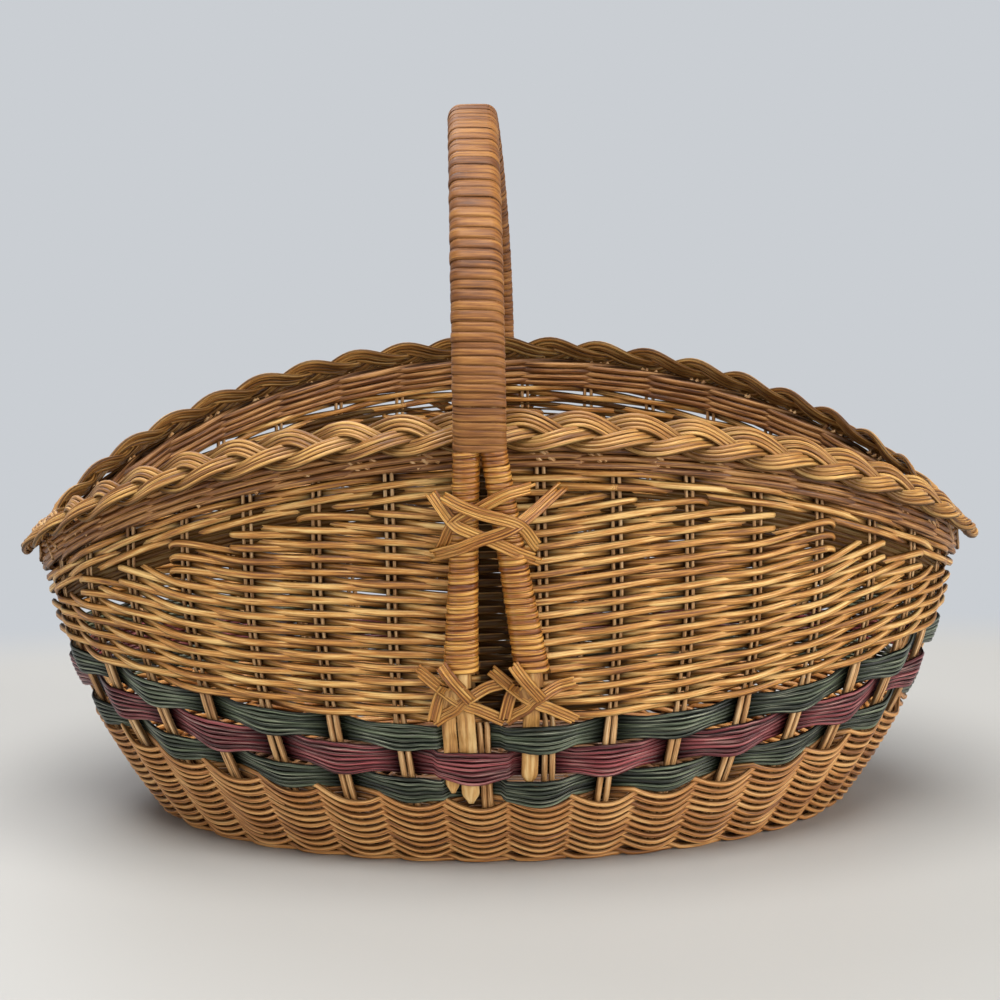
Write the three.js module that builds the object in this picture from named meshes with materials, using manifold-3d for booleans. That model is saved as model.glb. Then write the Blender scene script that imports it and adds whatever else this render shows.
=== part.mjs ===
// Harvest basket: an oval basket of round reed on paired stakes, with three coloured ribbons in its wall,
// a plaited border that rises over the long sides, and a fixed bow handle of two wrapped rods.
// Millimetres, +Z up, X along the basket, origin on the table under the middle. The front faces -Y.
import * as THREE from "three";
import { mergeVertices } from "three/addons/utils/BufferGeometryUtils.js";
import Module from "manifold-3d";

const wasm = await Module();
wasm.setup();

// Wall: an oval that widens upward, through the middle of the stakes
const BASE_HALF_LENGTH = 157;
const BASE_HALF_DEPTH = 122;
const WALL_HALF_LENGTH = 210;
const WALL_HALF_DEPTH = 147;
const ENDS_UPRIGHT_Z = 125;
const SIDES_UPRIGHT_Z = 75;
const ENDS_FLARE = 1.8;
const SIDES_FLARE = 2;
const SIDES_LEAN_IN = 7;

// Rim line: the height of the plait's middle at the ends and at the middle of the long sides
const RIM_END_Z = 128;
const RIM_SIDE_Z = 194;
const RIM_SWEEP = 0.66;
const RIM_END_ROUND = 0.02;

// Stakes: pairs of thin rods, woven as one
const STAKE_PAIRS = 36;
const STAKE_WIDTH = 6;
const STAKE_THICKNESS = 2.6;
const STAKE_SHOULDER = 0.57;
const STAKE_FOOT_Z = 1.2;

// Weave: each strip passes in front of one stake pair and behind the next. RUN_CLEARANCE is the room at a
// stake's middle for a straight run, whose slope brings it nearer to the stake's shoulders.
const STRIP_THICKNESS = 2.6;
const STRIP_GAP = 0.5;
const STAKE_CLEARANCE = 0.5;
const RUN_CLEARANCE = 1.1;
const STRIP_HOLD = 0.15;
const CROSSING_GAP = 0.6;
const FOOT_WALE_HEIGHT = 6;
const TOP_WALE_HEIGHT = 9;

// Rows of the upper wall: rounds above the ribbons and below the border, and short rows between them.
// TURN_BACK is how far past its last stake a short row turns, in stakes.
const ROW_PITCH = 2.98;
const ROW_HEIGHT = 2.4;
const ROW_THICKNESS = 2.3;
const LOW_ROUNDS = 4;
const RIM_ROUNDS = 3;
const TURN_BACK = 0.26;

// Coloured band: three ribbons, each as wide as five or six thin reeds
const RIBBONS = ["upper_green_ribbon", "maroon_ribbon", "lower_green_ribbon"];
const RIBBON_HEIGHT = 12;
const BAND_SIDE_Z = 49;
const BAND_END_RISE = 18.5;

// Base: a plain oval floor
const BASE_THICKNESS = 5;
const BASE_EDGE_ROUND = 1.2;
const BASE_SEGMENTS = 16;

// Border: a plait of three strands that leans outward over the wall. At the middle of the front the first
// strand is PLAIT_START of the way through a period.
const PLAIT_STRANDS = 3;
const PLAIT_PERIODS = 15;
const PLAIT_START = 0.71;
const PLAIT_STEPS = 9;
const PLAIT_WIDTH = 24;
const PLAIT_TILT = 42;
const PLAIT_OVERHANG = 6;
const PLAIT_SWAY = 8;
const PLAIT_LIFT = 3.1;
const STRAND_SIDES = 4;
const STRAND_THICKNESS = 4.1;

// Handle: two rods that arch from side to side, part at the split and widen toward their feet
const ROD_DIAMETER = 9.2;
const ROD_SPACING = 11;
const ROD_SIDES = 6;
const ROD_CLEARANCE = 0.4;
const HANDLE_CLEARANCE = 0.4;
const HANDLE_TOP_Z = 325;
const SPLIT_Z = 188;
const BOW_FULLNESS = 0.92;
const BOW_STEPS = 22;
const FRONT_LEAN = -9.6;
const BACK_LEAN = 0;
const LEAN_START = 0.45;
const LEG_STEPS = 5;
const LEG_SPREAD = 1.9;
const FRONT_FOOT_SHIFT = -4;
const BACK_FOOT_SHIFT = 0;
const LEG_WRAP_TOP_Z = 177;
const LEG_WRAP_END_Z = 92;
const SLAT_THICKNESS = 2;
const SLAT_WIDTH = 12;
const SLAT_END_Z = 34;
const SLAT_TUCK = 7;

// Wrapping reed round the handle
const WRAP_THICKNESS = 1;
const WRAP_GAP = 0.6;
const WRAP_TAIL = 3;
const BOW_LOOPS = 22;
const LEG_LOOPS = 5;
const LOOP_STEPS = 8;

// Star lashings that tie the two legs together
const LASHING_Z = 153;
const LASHING_HEIGHT = 26;
const LASHING_BAND = 4;
const LASHING_THICKNESS = 1;
const LASHING_REACH = 7;
const LASHING_STEPS = 10;
const LASHING_CLEARANCE = 0.6;

// Colours from the stained reed
const COLOURS = {
  reed: 0xb98546,
  stake: 0xc99a5c,
  green: 0x4c5c4c,
  maroon: 0x7d3d48,
  border: 0xb07a3c,
  rod: 0xa8743c,
  wrap: 0xa9662c,
};
const ROUGHNESS = 0.55;

// Steps for lengths and directions along curves
const OVAL_SAMPLES = 720;
const BOW_SAMPLES = 400;
const SMALL_SHARE = 1e-3;
const SMALL_RISE = 0.5;

const TURN = 2 * Math.PI;
const UP = new THREE.Vector3(0, 0, 1);
const SIDEWAYS = new THREE.Vector3(1, 0, 0);

// Height of a level as a share of the whole, kept between 0 and 1
function share(value, full) {
  return Math.min(Math.max(value / full, 0), 1);
}

// Smooth step from 0 to 1 over low to high
function ease(value, low, high) {
  const s = share(value - low, high - low);
  return s * s * (3 - 2 * s);
}

function halfLength(z) {
  const spread = 1 - Math.pow(1 - share(z, ENDS_UPRIGHT_Z), ENDS_FLARE);
  return BASE_HALF_LENGTH + (WALL_HALF_LENGTH - BASE_HALF_LENGTH) * spread;
}

function halfDepth(z) {
  const spread = 1 - Math.pow(1 - share(z, SIDES_UPRIGHT_Z), SIDES_FLARE);
  const lean = share(z - SIDES_UPRIGHT_Z, RIM_SIDE_Z - SIDES_UPRIGHT_Z);
  return (
    BASE_HALF_DEPTH +
    (WALL_HALF_DEPTH - BASE_HALF_DEPTH) * spread -
    SIDES_LEAN_IN * lean * lean
  );
}

// Equal steps of length round an oval: from a table of lengths, the angle at a share of the whole.
// Share 0 is the middle of the front, and shares grow toward +X, the back and -X.
function evenAngles(a, b) {
  const lengths = [0];
  for (let i = 1; i <= OVAL_SAMPLES; i++) {
    const angle = (TURN * (i - 0.5)) / OVAL_SAMPLES - Math.PI / 2;
    const step = Math.hypot(a * Math.sin(angle), b * Math.cos(angle));
    lengths.push(lengths[i - 1] + (step * TURN) / OVAL_SAMPLES);
  }
  return (t) => {
    const turns = Math.floor(t);
    const target = (t - turns) * lengths[OVAL_SAMPLES];
    let i = 1;
    while (i < OVAL_SAMPLES && lengths[i] < target) i++;
    const part = (target - lengths[i - 1]) / (lengths[i] - lengths[i - 1]);
    return TURN * (turns + (i - 1 + part) / OVAL_SAMPLES) - Math.PI / 2;
  };
}

const BAND_MEAN_Z = BAND_SIDE_Z + BAND_END_RISE / 2;
const angleAt = evenAngles(halfLength(BAND_MEAN_Z), halfDepth(BAND_MEAN_Z));

function wallPoint(t, z) {
  const angle = angleAt(t);
  return new THREE.Vector3(
    halfLength(z) * Math.cos(angle),
    halfDepth(z) * Math.sin(angle),
    z,
  );
}

// Tangent round the basket, tangent up the wall and outward normal
function wallFrame(t, z) {
  const along = wallPoint(t + SMALL_SHARE, z).sub(wallPoint(t - SMALL_SHARE, z)).normalize();
  const up = wallPoint(t, z + SMALL_RISE).sub(wallPoint(t, z - SMALL_RISE)).normalize();
  const out = new THREE.Vector3().crossVectors(along, up).normalize();
  return { along, up, out };
}

function rimHeight(angle) {
  const rise = (x) => Math.pow(x * x + RIM_END_ROUND, RIM_SWEEP);
  const side = (rise(Math.sin(angle)) - rise(0)) / (rise(1) - rise(0));
  return RIM_END_Z + (RIM_SIDE_Z - RIM_END_Z) * side;
}

function bandMiddle(angle) {
  const end = Math.cos(angle);
  return BAND_SIDE_Z + BAND_END_RISE * end * end;
}

// Closed solid from rings of points: a loop that meets itself, or a tube with flat ends
function loft(rings, closed) {
  const sides = rings[0].length;
  const positions = [];
  for (const ring of rings) for (const p of ring) positions.push(p.x, p.y, p.z);
  const faces = [];
  const spans = closed ? rings.length : rings.length - 1;
  for (let i = 0; i < spans; i++) {
    const next = (i + 1) % rings.length;
    for (let k = 0; k < sides; k++) {
      const l = (k + 1) % sides;
      const [a, b] = [i * sides + k, i * sides + l];
      const [c, d] = [next * sides + k, next * sides + l];
      faces.push(a, b, d, a, d, c);
    }
  }
  if (!closed) {
    const last = (rings.length - 1) * sides;
    for (let k = 1; k < sides - 1; k++) {
      faces.push(0, k + 1, k, last, last + k, last + k + 1);
    }
  }
  const geometry = new THREE.BufferGeometry();
  const flat = new Float32Array(positions);
  geometry.setAttribute("position", new THREE.BufferAttribute(flat, 3));
  geometry.setIndex(facingOut(flat, faces));
  return geometry;
}

// Turns the faces round if they enclose a negative volume
function facingOut(flat, faces) {
  const corner = (i) => new THREE.Vector3().fromArray(flat, 3 * i);
  let volume = 0;
  for (let i = 0; i < faces.length; i += 3) {
    const [a, b, c] = [corner(faces[i]), corner(faces[i + 1]), corner(faces[i + 2])];
    volume += a.dot(b.cross(c));
  }
  if (volume > 0) return faces;
  for (let i = 0; i < faces.length; i += 3) {
    [faces[i + 1], faces[i + 2]] = [faces[i + 2], faces[i + 1]];
  }
  return faces;
}

const basket = new THREE.Group();
basket.name = "harvest_basket";

function addPiece(name, geometry, colour) {
  const material = new THREE.MeshStandardMaterial({
    color: colour,
    roughness: ROUGHNESS,
    metalness: 0,
  });
  const mesh = new THREE.Mesh(geometry, material);
  mesh.name = name;
  basket.add(mesh);
}

// Levels of the wall at an angle, from the table up
const STAKE_HALF = STAKE_THICKNESS / 2;
const STRIP_HALF = STRIP_THICKNESS / 2;
const RIBBON_SWING = STAKE_HALF + STAKE_CLEARANCE + STRIP_HALF;
const STRIP_SWING = STAKE_HALF + RUN_CLEARANCE + STRIP_HALF;
const ROW_SWING = STAKE_HALF + RUN_CLEARANCE + ROW_THICKNESS / 2;
const STRIP_REACH = STRIP_SWING + STRIP_HALF;
const ROW_REACH = ROW_SWING + ROW_THICKNESS / 2;
const BAND_HALF = (RIBBONS.length * RIBBON_HEIGHT) / 2;
const tilt = (degrees) => (degrees * Math.PI) / 180;

// Drop of the plait's underside below its middle line, at a distance out from the wall's middle
function plaitUnderside(out) {
  const across = Math.cos(tilt(PLAIT_TILT));
  const down = Math.sin(tilt(PLAIT_TILT));
  const half = PLAIT_LIFT + STRAND_THICKNESS / 2;
  const along = (out - PLAIT_OVERHANG + half * down) / across;
  return along * down + half * across;
}

// How far the plait's outer edge stands out from its middle line
function plaitReach() {
  const half = PLAIT_LIFT + STRAND_THICKNESS / 2;
  return Math.hypot(
    (PLAIT_WIDTH / 2) * Math.cos(tilt(PLAIT_TILT)),
    half * Math.sin(tilt(PLAIT_TILT)),
  );
}
const WALE_DROP = plaitUnderside(STRIP_REACH) + STRIP_GAP;
const STAKE_DROP = plaitUnderside(STAKE_HALF) + STAKE_CLEARANCE;

// Stake pairs, numbered from the front toward +X
function stakeShare(j) {
  return (j + 0.5) / STAKE_PAIRS;
}

function stakeGeometry(t) {
  const angle = angleAt(t);
  const band = bandMiddle(angle);
  const top = rimHeight(angle) - STAKE_DROP;
  const low = band - BAND_HALF;
  const high = band + BAND_HALF;
  const levels = [
    STAKE_FOOT_Z,
    (STAKE_FOOT_Z + low) / 2,
    low,
    band,
    high,
    (high + top) / 2,
    top,
  ];
  const w = STAKE_WIDTH / 2;
  const s = STAKE_SHOULDER * w;
  const h = STAKE_HALF;
  const outline = [[-w, 0], [-s, -h], [s, -h], [w, 0], [s, h], [-s, h]];
  const rings = levels.map((z) => {
    const { along, out } = wallFrame(t, z);
    return outline.map(([x, y]) =>
      wallPoint(t, z).addScaledVector(along, x).addScaledVector(out, y),
    );
  });
  return loft(rings, false);
}

for (let j = 0; j < STAKE_PAIRS; j++) {
  const number = String(j + 1).padStart(2, "0");
  addPiece("stake_pair_" + number, stakeGeometry(stakeShare(j)), COLOURS.stake);
}

// The legs of the handle end on the two stake pairs beside the middle: front left, front right,
// back right and back left
const LEG_STAKES = [STAKE_PAIRS - 1, 0, STAKE_PAIRS / 2 - 1, STAKE_PAIRS / 2];
const SLAT_ROOM = SLAT_THICKNESS + STAKE_CLEARANCE;

// Section of a strip: swing is how far its middle stands out from the wall's, and heights are the levels of
// its corners, from the lowest up
function stripRing(t, heights, swing, level = false) {
  const corner = (z, offset) => {
    const { out } = wallFrame(t, z);
    if (level) out.setZ(0).divideScalar(out.lengthSq());
    return wallPoint(t, z).addScaledVector(out, swing + offset);
  };
  const inner = heights.map((z) => corner(z, -STRIP_HALF)).reverse();
  return [...inner, ...heights.map((z) => corner(z, STRIP_HALF))];
}

// Strip woven round the basket between two levels, given as functions of the angle.
// phase 1 passes in front of the even stake pairs, -1 in front of the odd ones.
// A strip runs straight from stake to stake, but a ribbon lies flat on each stake and covers the slats.
// A level strip is cut square to the table instead of square to the wall.
function strip(lowAt, highAt, phase, { ribbon = false, level = false } = {}) {
  const rings = [];
  for (let j = 0; j < STAKE_PAIRS; j++) {
    const side = phase * (j % 2 === 0 ? 1 : -1);
    const room = ribbon && side > 0 && LEG_STAKES.includes(j) ? SLAT_ROOM : 0;
    const swing = side * (ribbon ? RIBBON_SWING : STRIP_SWING) + room;
    for (const hold of ribbon ? [-STRIP_HOLD, STRIP_HOLD] : [0]) {
      const t = stakeShare(j + hold);
      const angle = angleAt(t);
      rings.push(stripRing(t, [lowAt(angle), highAt(angle)], swing, level));
    }
  }
  return loft(rings, true);
}

// The lower wall is twined in pairs of reeds: at each stake one reed passes outside and one inside, and
// they cross between stakes. The outer strip dips toward the wall's middle there, and the inner one, which
// hardly shows, runs straight. The outer one's lowest edge clears the foot wale.
function twinedStrip(outside) {
  const reach = RIBBON_SWING + STRIP_HALF;
  const rings = [];
  for (let j = 0; j < STAKE_PAIRS; j++) {
    for (const past of outside ? [0, 1 / 2] : [0]) {
      const t = stakeShare(j + past);
      const { out } = wallFrame(t, FOOT_WALE_HEIGHT);
      const low = FOOT_WALE_HEIGHT + STRIP_GAP - reach * out.z;
      const high = bandBottom(angleAt(t)) - STRIP_GAP / 2;
      const heights = outside ? [low, (low + high) / 2, high] : [low, high];
      const swing = past ? CROSSING_GAP / 2 + STRIP_HALF : RIBBON_SWING;
      rings.push(stripRing(t, heights, outside ? swing : -swing));
    }
  }
  return loft(rings, true);
}

const bandBottom = (angle) => bandMiddle(angle) - BAND_HALF;
const bandTop = (angle) => bandMiddle(angle) + BAND_HALF;
const waleTop = (angle) => rimHeight(angle) - WALE_DROP;
const waleBottom = (angle) => waleTop(angle) - TOP_WALE_HEIGHT;

addPiece(
  "foot_wale",
  strip(() => 0, () => FOOT_WALE_HEIGHT, -1, { level: true }),
  COLOURS.reed,
);
[true, false].forEach((outside, k) => {
  addPiece("lower_weave_" + (k + 1), twinedStrip(outside), COLOURS.reed);
});
RIBBONS.forEach((name, k) => {
  const high = (angle) => bandTop(angle) - k * RIBBON_HEIGHT - STRIP_GAP / 2;
  const low = (angle) => high(angle) - RIBBON_HEIGHT + STRIP_GAP;
  const colour = k % 2 === 0 ? COLOURS.green : COLOURS.maroon;
  const phase = k % 2 === 0 ? 1 : -1;
  addPiece(name, strip(low, high, phase, { ribbon: true }), colour);
});
addPiece(
  "top_wale",
  strip((angle) => waleBottom(angle) + STRIP_GAP / 2, waleTop, 1),
  COLOURS.reed,
);

// Upper wall. Each long side has half of the stakes, counted along it from -X at the front and from +X
// at the back. Rows climb by one pitch along a side, so that two weavers chase each other round the wall.
const SIDE_STAKES = STAKE_PAIRS / 2;
const sideStake = (side, i) => i - SIDE_STAKES / 2 + side * SIDE_STAKES;

// The stake on each long side where a slat slides in under the upper green ribbon: the lowest rows pass
// behind it
const SLAT_STAKE = SIDE_STAKES / 2;

// Short rows at a stake: an even number, at least two, that keeps the pitch near its value
function shortRows(i) {
  const angle = angleAt(stakeShare(sideStake(0, i)));
  const slots = (waleBottom(angle) - bandTop(angle)) / ROW_PITCH;
  return Math.max(2 * Math.round((slots - 1 - LOW_ROUNDS - RIM_ROUNDS) / 2), 2);
}
const SHORT_ROWS = Array.from({ length: SIDE_STAKES }, (_, i) => shortRows(i));
const MOST_SHORT_ROWS = Math.max(...SHORT_ROWS);

// Point on a row by its stake along a side and its level, the number of rows below it there.
// swing is 1 in front of the stake and -1 behind it, and past moves the point along the wall.
function rowPoint(side, i, level, swing, past = 0) {
  const t = stakeShare(sideStake(side, i) + past);
  const angle = angleAt(t);
  const [low, high] = [bandTop(angle), waleBottom(angle)];
  const slots = LOW_ROUNDS + SHORT_ROWS[i] + RIM_ROUNDS + 1;
  const climb = (i + 0.5) / SIDE_STAKES;
  const z = low + ((high - low) * (level + climb + 0.5)) / slots;
  const behind = i === SLAT_STAKE && z < low + SLAT_TUCK;
  const { up, out } = wallFrame(t, z);
  return { place: wallPoint(t, z).addScaledVector(out, (behind ? -1 : swing) * ROW_SWING), up };
}

// Which side of a stake a weaver passes: the two weavers differ at every stake
const swingAt = (side, i, weaver) => (sideStake(side, i) % 2 === 0 ? weaver : -weaver);

// Rounds: half rounds over one long side after the other, starting with the given side
function rounds(firstSide, halfRounds, levelAt, weaver) {
  const points = [];
  for (let half = 0; half < halfRounds; half++) {
    const side = (firstSide + half) % 2;
    for (let i = 0; i < SIDE_STAKES; i++) {
      points.push(rowPoint(side, i, levelAt(i) + half, swingAt(side, i, weaver)));
    }
  }
  return points;
}

// Short rows on one side, there and back. Each pair turns back round a stake where the wall gets too low
// for it; the first row starts at one end of the side and the last row ends there.
function packing(side, weaver) {
  const points = [];
  for (let k = 0; k < MOST_SHORT_ROWS; k++) {
    const fits = (pair) => SHORT_ROWS.map((rows) => rows >= 2 + 2 * pair);
    const whole = k === 0 || k === MOST_SHORT_ROWS - 1;
    const first = whole ? 0 : fits(Math.floor((k + 1) / 2)).indexOf(true);
    const last = fits(Math.floor(k / 2)).lastIndexOf(true);
    const forward = k % 2 === 0;
    const row = [];
    for (let i = first; i <= last; i++) {
      const level = LOW_ROUNDS + Math.min(k, SHORT_ROWS[i] - 1);
      row.push(rowPoint(side, i, level, swingAt(side, i, forward ? weaver : -weaver)));
    }
    const [end, past] = forward ? [last, TURN_BACK] : [first, -TURN_BACK];
    const level = LOW_ROUNDS + Math.min(k, SHORT_ROWS[end] - 1) + 0.5;
    if (!forward) row.reverse();
    points.push(...row, rowPoint(side, end, level, 0, past));
  }
  return points;
}

// Round reed drawn along a row's points as a tube with three sides, one edge up
function rowGeometry(points) {
  const [h, w] = [ROW_HEIGHT / 2, ROW_THICKNESS / 2];
  const rings = points.map(({ place, up }, k) => {
    const ahead = points[Math.min(k + 1, points.length - 1)].place;
    const behind = points[Math.max(k - 1, 0)].place;
    const across = ahead.clone().sub(behind).cross(up).normalize();
    const corner = (out, rise) =>
      place.clone().addScaledVector(across, out).addScaledVector(up, rise);
    return [corner(0, h), corner(w, -h), corner(-w, -h)];
  });
  return loft(rings, false);
}

[-1, 1].forEach((weaver, side) => {
  const points = rounds(side, LOW_ROUNDS, () => 0, weaver);
  addPiece("upper_weave_" + (side + 1), rowGeometry(points), COLOURS.reed);
});
[-1, 1].forEach((weaver, side) => {
  const above = (i) => LOW_ROUNDS + SHORT_ROWS[i];
  const points = packing(side, weaver).concat(rounds(side, RIM_ROUNDS, above, weaver));
  addPiece("upper_weave_" + (side + 3), rowGeometry(points), COLOURS.reed);
});

// Base inside the foot wale, a small gap away from it all round
function baseGeometry() {
  const { out } = wallFrame(0, BASE_EDGE_ROUND);
  const inset = STRIP_REACH / Math.hypot(out.x, out.y) + STAKE_CLEARANCE + BASE_EDGE_ROUND;
  const a = halfLength(BASE_EDGE_ROUND) - inset;
  const b = halfDepth(BASE_EDGE_ROUND) - inset;
  const shape = new THREE.Shape();
  shape.absellipse(0, 0, a, b, 0, TURN, false, 0);
  const geometry = new THREE.ExtrudeGeometry(shape, {
    depth: BASE_THICKNESS - 2 * BASE_EDGE_ROUND,
    curveSegments: BASE_SEGMENTS,
    bevelEnabled: true,
    bevelThickness: BASE_EDGE_ROUND,
    bevelSize: BASE_EDGE_ROUND,
    bevelSegments: 1,
  });
  geometry.translate(0, 0, BASE_EDGE_ROUND);
  return geometry;
}
addPiece("base", baseGeometry(), COLOURS.reed);

// Border plait: a point across and through the plait, at a share of the way round the rim
const RIM_HALF_LENGTH = halfLength(RIM_END_Z) + PLAIT_OVERHANG;
const RIM_HALF_DEPTH = halfDepth(RIM_SIDE_Z) + PLAIT_OVERHANG;
const rimAngleAt = evenAngles(RIM_HALF_LENGTH, RIM_HALF_DEPTH);

function plaitPoint(t, across, through) {
  const angle = rimAngleAt(t);
  const middle = new THREE.Vector3(
    RIM_HALF_LENGTH * Math.cos(angle),
    RIM_HALF_DEPTH * Math.sin(angle),
    rimHeight(angle),
  );
  const out = new THREE.Vector3(
    Math.cos(angle) / RIM_HALF_LENGTH,
    Math.sin(angle) / RIM_HALF_DEPTH,
    0,
  ).normalize();
  const [c, s] = [Math.cos(tilt(PLAIT_TILT)), Math.sin(tilt(PLAIT_TILT))];
  return middle
    .addScaledVector(out, across * c + through * s)
    .addScaledVector(UP, through * c - across * s);
}

// One strand: it sways across the plait once a period and lifts over and under twice
function strandGeometry(strand) {
  const width = PLAIT_WIDTH - 2 * PLAIT_SWAY;
  const rings = [];
  const steps = PLAIT_PERIODS * PLAIT_STEPS;
  for (let i = 0; i < steps; i++) {
    const t = i / steps;
    const phase = TURN * (PLAIT_PERIODS * t + PLAIT_START + strand / PLAIT_STRANDS);
    const sway = PLAIT_SWAY * Math.sin(phase);
    const lift = -PLAIT_LIFT * Math.sin(2 * phase);
    const ring = [];
    for (let k = 0; k < STRAND_SIDES; k++) {
      const around = (TURN * k) / STRAND_SIDES;
      const across = (width / 2) * Math.cos(around);
      const through = (STRAND_THICKNESS / 2) * Math.sin(around);
      ring.push(plaitPoint(t, sway + across, lift + through));
    }
    rings.push(ring);
  }
  return loft(rings, true);
}
for (let k = 0; k < PLAIT_STRANDS; k++) {
  addPiece("border_strand_" + (k + 1), strandGeometry(k), COLOURS.border);
}

// Handle: the middle line of the bow, from the front split (0) over the top to the back split (1)
const ROD_RADIUS = ROD_DIAMETER / 2;
const WRAP_REACH = ROD_RADIUS + ROD_CLEARANCE + WRAP_THICKNESS;
const BOW_RISE = HANDLE_TOP_Z - WRAP_REACH - SPLIT_Z;
const BOW_HALF_DEPTH = RIM_HALF_DEPTH + plaitReach() + HANDLE_CLEARANCE + WRAP_REACH;
const LEG_HALF_DEPTH =
  WALL_HALF_DEPTH + ROW_REACH + HANDLE_CLEARANCE + WRAP_REACH;

function bowPoint(part) {
  const angle = Math.PI * part;
  const [c, s] = [Math.cos(angle), Math.sin(angle)];
  return new THREE.Vector3(
    FRONT_LEAN + (BACK_LEAN - FRONT_LEAN) * ease(part, LEAN_START, 1),
    -BOW_HALF_DEPTH * Math.sign(c) * Math.pow(Math.abs(c), BOW_FULLNESS),
    SPLIT_Z + BOW_RISE * Math.pow(Math.max(s, 0), BOW_FULLNESS),
  );
}

// Middle line of a leg below the split, from its rod's place there to a place by its stake pair
const stakeX = (j) => wallPoint(stakeShare(j), bandTop(-Math.PI / 2)).x;
const legPart = (z) => share(SPLIT_Z - z, SPLIT_Z - LEG_WRAP_END_Z);

function legPoint(face, rodSide, z) {
  const lean = face < 0 ? FRONT_LEAN : BACK_LEAN;
  const start = lean + (rodSide * ROD_SPACING) / 2;
  const end = rodSide * stakeX(0) + (face < 0 ? FRONT_FOOT_SHIFT : BACK_FOOT_SHIFT);
  const part = legPart(z);
  return new THREE.Vector3(
    start + (end - start) * part,
    face * (BOW_HALF_DEPTH + (LEG_HALF_DEPTH - BOW_HALF_DEPTH) * part),
    z,
  );
}

// A leg widens downward: how far its wrap's round sides stand from its middle line
const legSpread = (z) => LEG_SPREAD * legPart(z) * legPart(z);

// The green ribbons cover the leg's stake on the +X side of the front and the -X side of the back
const greenCovers = (face, rodSide) => face * rodSide < 0;

// Flat end of a rod: it slides in through the weave onto its stake pair
function slatSection(face, rodSide, z) {
  const t = stakeShare(LEG_STAKES[(face + 1) + (face * rodSide < 0 ? 1 : 0)]);
  const onStake = STAKE_HALF + STAKE_CLEARANCE + SLAT_THICKNESS / 2;
  const onWeave = ROW_REACH + STAKE_CLEARANCE + SLAT_THICKNESS / 2;
  const top = bandTop(angleAt(t)) + (greenCovers(face, rodSide) ? SLAT_TUCK : 0);
  const offset = onStake + (onWeave - onStake) * ease(z, top - SLAT_TUCK, top);
  const { along, out } = wallFrame(t, z);
  const middle = wallPoint(t, z).addScaledVector(out, offset);
  return { middle, along: face < 0 ? along : along.negate(), out };
}

function ovalRing(middle, sideways, outward, halfWidth, halfThick) {
  return Array.from({ length: ROD_SIDES }, (_, k) => {
    const around = (TURN * (k + 0.5)) / ROD_SIDES;
    return middle
      .clone()
      .addScaledVector(sideways, halfWidth * Math.cos(around))
      .addScaledVector(outward, halfThick * Math.sin(around));
  });
}

function legRings(face, rodSide) {
  const outward = new THREE.Vector3(0, face, 0);
  const rings = [];
  const greenTop = bandTop(-Math.PI / 2);
  const slatTop = greenTop + 2 * SLAT_TUCK;
  const levels = [SLAT_END_Z, greenTop - BAND_HALF, greenTop - SLAT_TUCK];
  levels.push(greenTop - SLAT_TUCK / 2, greenTop, greenTop + SLAT_TUCK / 2);
  levels.push(greenTop + SLAT_TUCK, slatTop);
  for (const z of levels) {
    const { middle, along, out } = slatSection(face, rodSide, z);
    rings.push(ovalRing(middle, along, out, SLAT_WIDTH / 2, SLAT_THICKNESS / 2));
  }
  for (let i = 0; i < LEG_STEPS; i++) {
    const z = LEG_WRAP_END_Z + ((SPLIT_Z - LEG_WRAP_END_Z) * i) / LEG_STEPS;
    const halfWidth = ROD_RADIUS + legSpread(z);
    rings.push(
      ovalRing(legPoint(face, rodSide, z), SIDEWAYS, outward, halfWidth, ROD_RADIUS),
    );
  }
  return rings;
}

// Outward direction square to the bow, in the plane of its arch
function bowOut(part) {
  const ahead = bowPoint(Math.min(part + SMALL_SHARE, 1));
  const run = ahead.sub(bowPoint(Math.max(part - SMALL_SHARE, 0)));
  return new THREE.Vector3(0, -run.z, run.y).normalize();
}

function rodGeometry(rodSide) {
  const rings = legRings(-1, rodSide);
  for (let i = 0; i <= BOW_STEPS; i++) {
    const part = i / BOW_STEPS;
    const middle = bowPoint(part).addScaledVector(SIDEWAYS, (rodSide * ROD_SPACING) / 2);
    rings.push(ovalRing(middle, SIDEWAYS, bowOut(part), ROD_RADIUS, ROD_RADIUS));
  }
  const back = legRings(1, rodSide);
  back.reverse();
  return loft(rings.concat(back), false);
}
addPiece("handle_rod_left", rodGeometry(-1), COLOURS.rod);
addPiece("handle_rod_right", rodGeometry(1), COLOURS.rod);

// Outline that a wrap follows round one rod, or round two rods side by side, at a distance from the rods
function wrapOutline(around, halfSpacing, distance) {
  const corner = (ROD_RADIUS + distance) / Math.cos(Math.PI / LOOP_STEPS);
  const x = corner * Math.cos(around);
  return { x: x + Math.sign(x) * halfSpacing, y: corner * Math.sin(around) };
}

// Flat reed wound round the handle in one unbroken ribbon: each loop covers its pitch, less a small gap.
// spreadAt gives how far the outline's round sides stand from its middle, and placeAt a point, each for
// a distance along the handle.
function windingGeometry(name, loops, length, spreadAt, placeAt) {
  const pitch = length / (loops + 1);
  const half = (pitch - WRAP_GAP) / 2;
  const near = ROD_CLEARANCE;
  const far = ROD_CLEARANCE + WRAP_THICKNESS;
  const rings = [];
  for (let i = 0; i <= loops * LOOP_STEPS; i++) {
    const turns = i / LOOP_STEPS;
    const around = TURN * (turns + 0.5 / LOOP_STEPS);
    const middle = pitch * (turns + 0.5);
    const corner = (shift, distance) => {
      const along = middle + shift;
      return placeAt(along, wrapOutline(around, spreadAt(along), distance));
    };
    rings.push([
      corner(-half, near),
      corner(-half, far),
      corner(half, far),
      corner(half, near),
    ]);
  }
  console.log(name + ": least gap to itself " + leastSelfGap(rings).toFixed(2) + " mm");
  const first = straightEnd(rings[0], rings[1]);
  const last = straightEnd(rings[rings.length - 1], rings[rings.length - 2]);
  return loft([first, ...rings, last], false);
}

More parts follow.
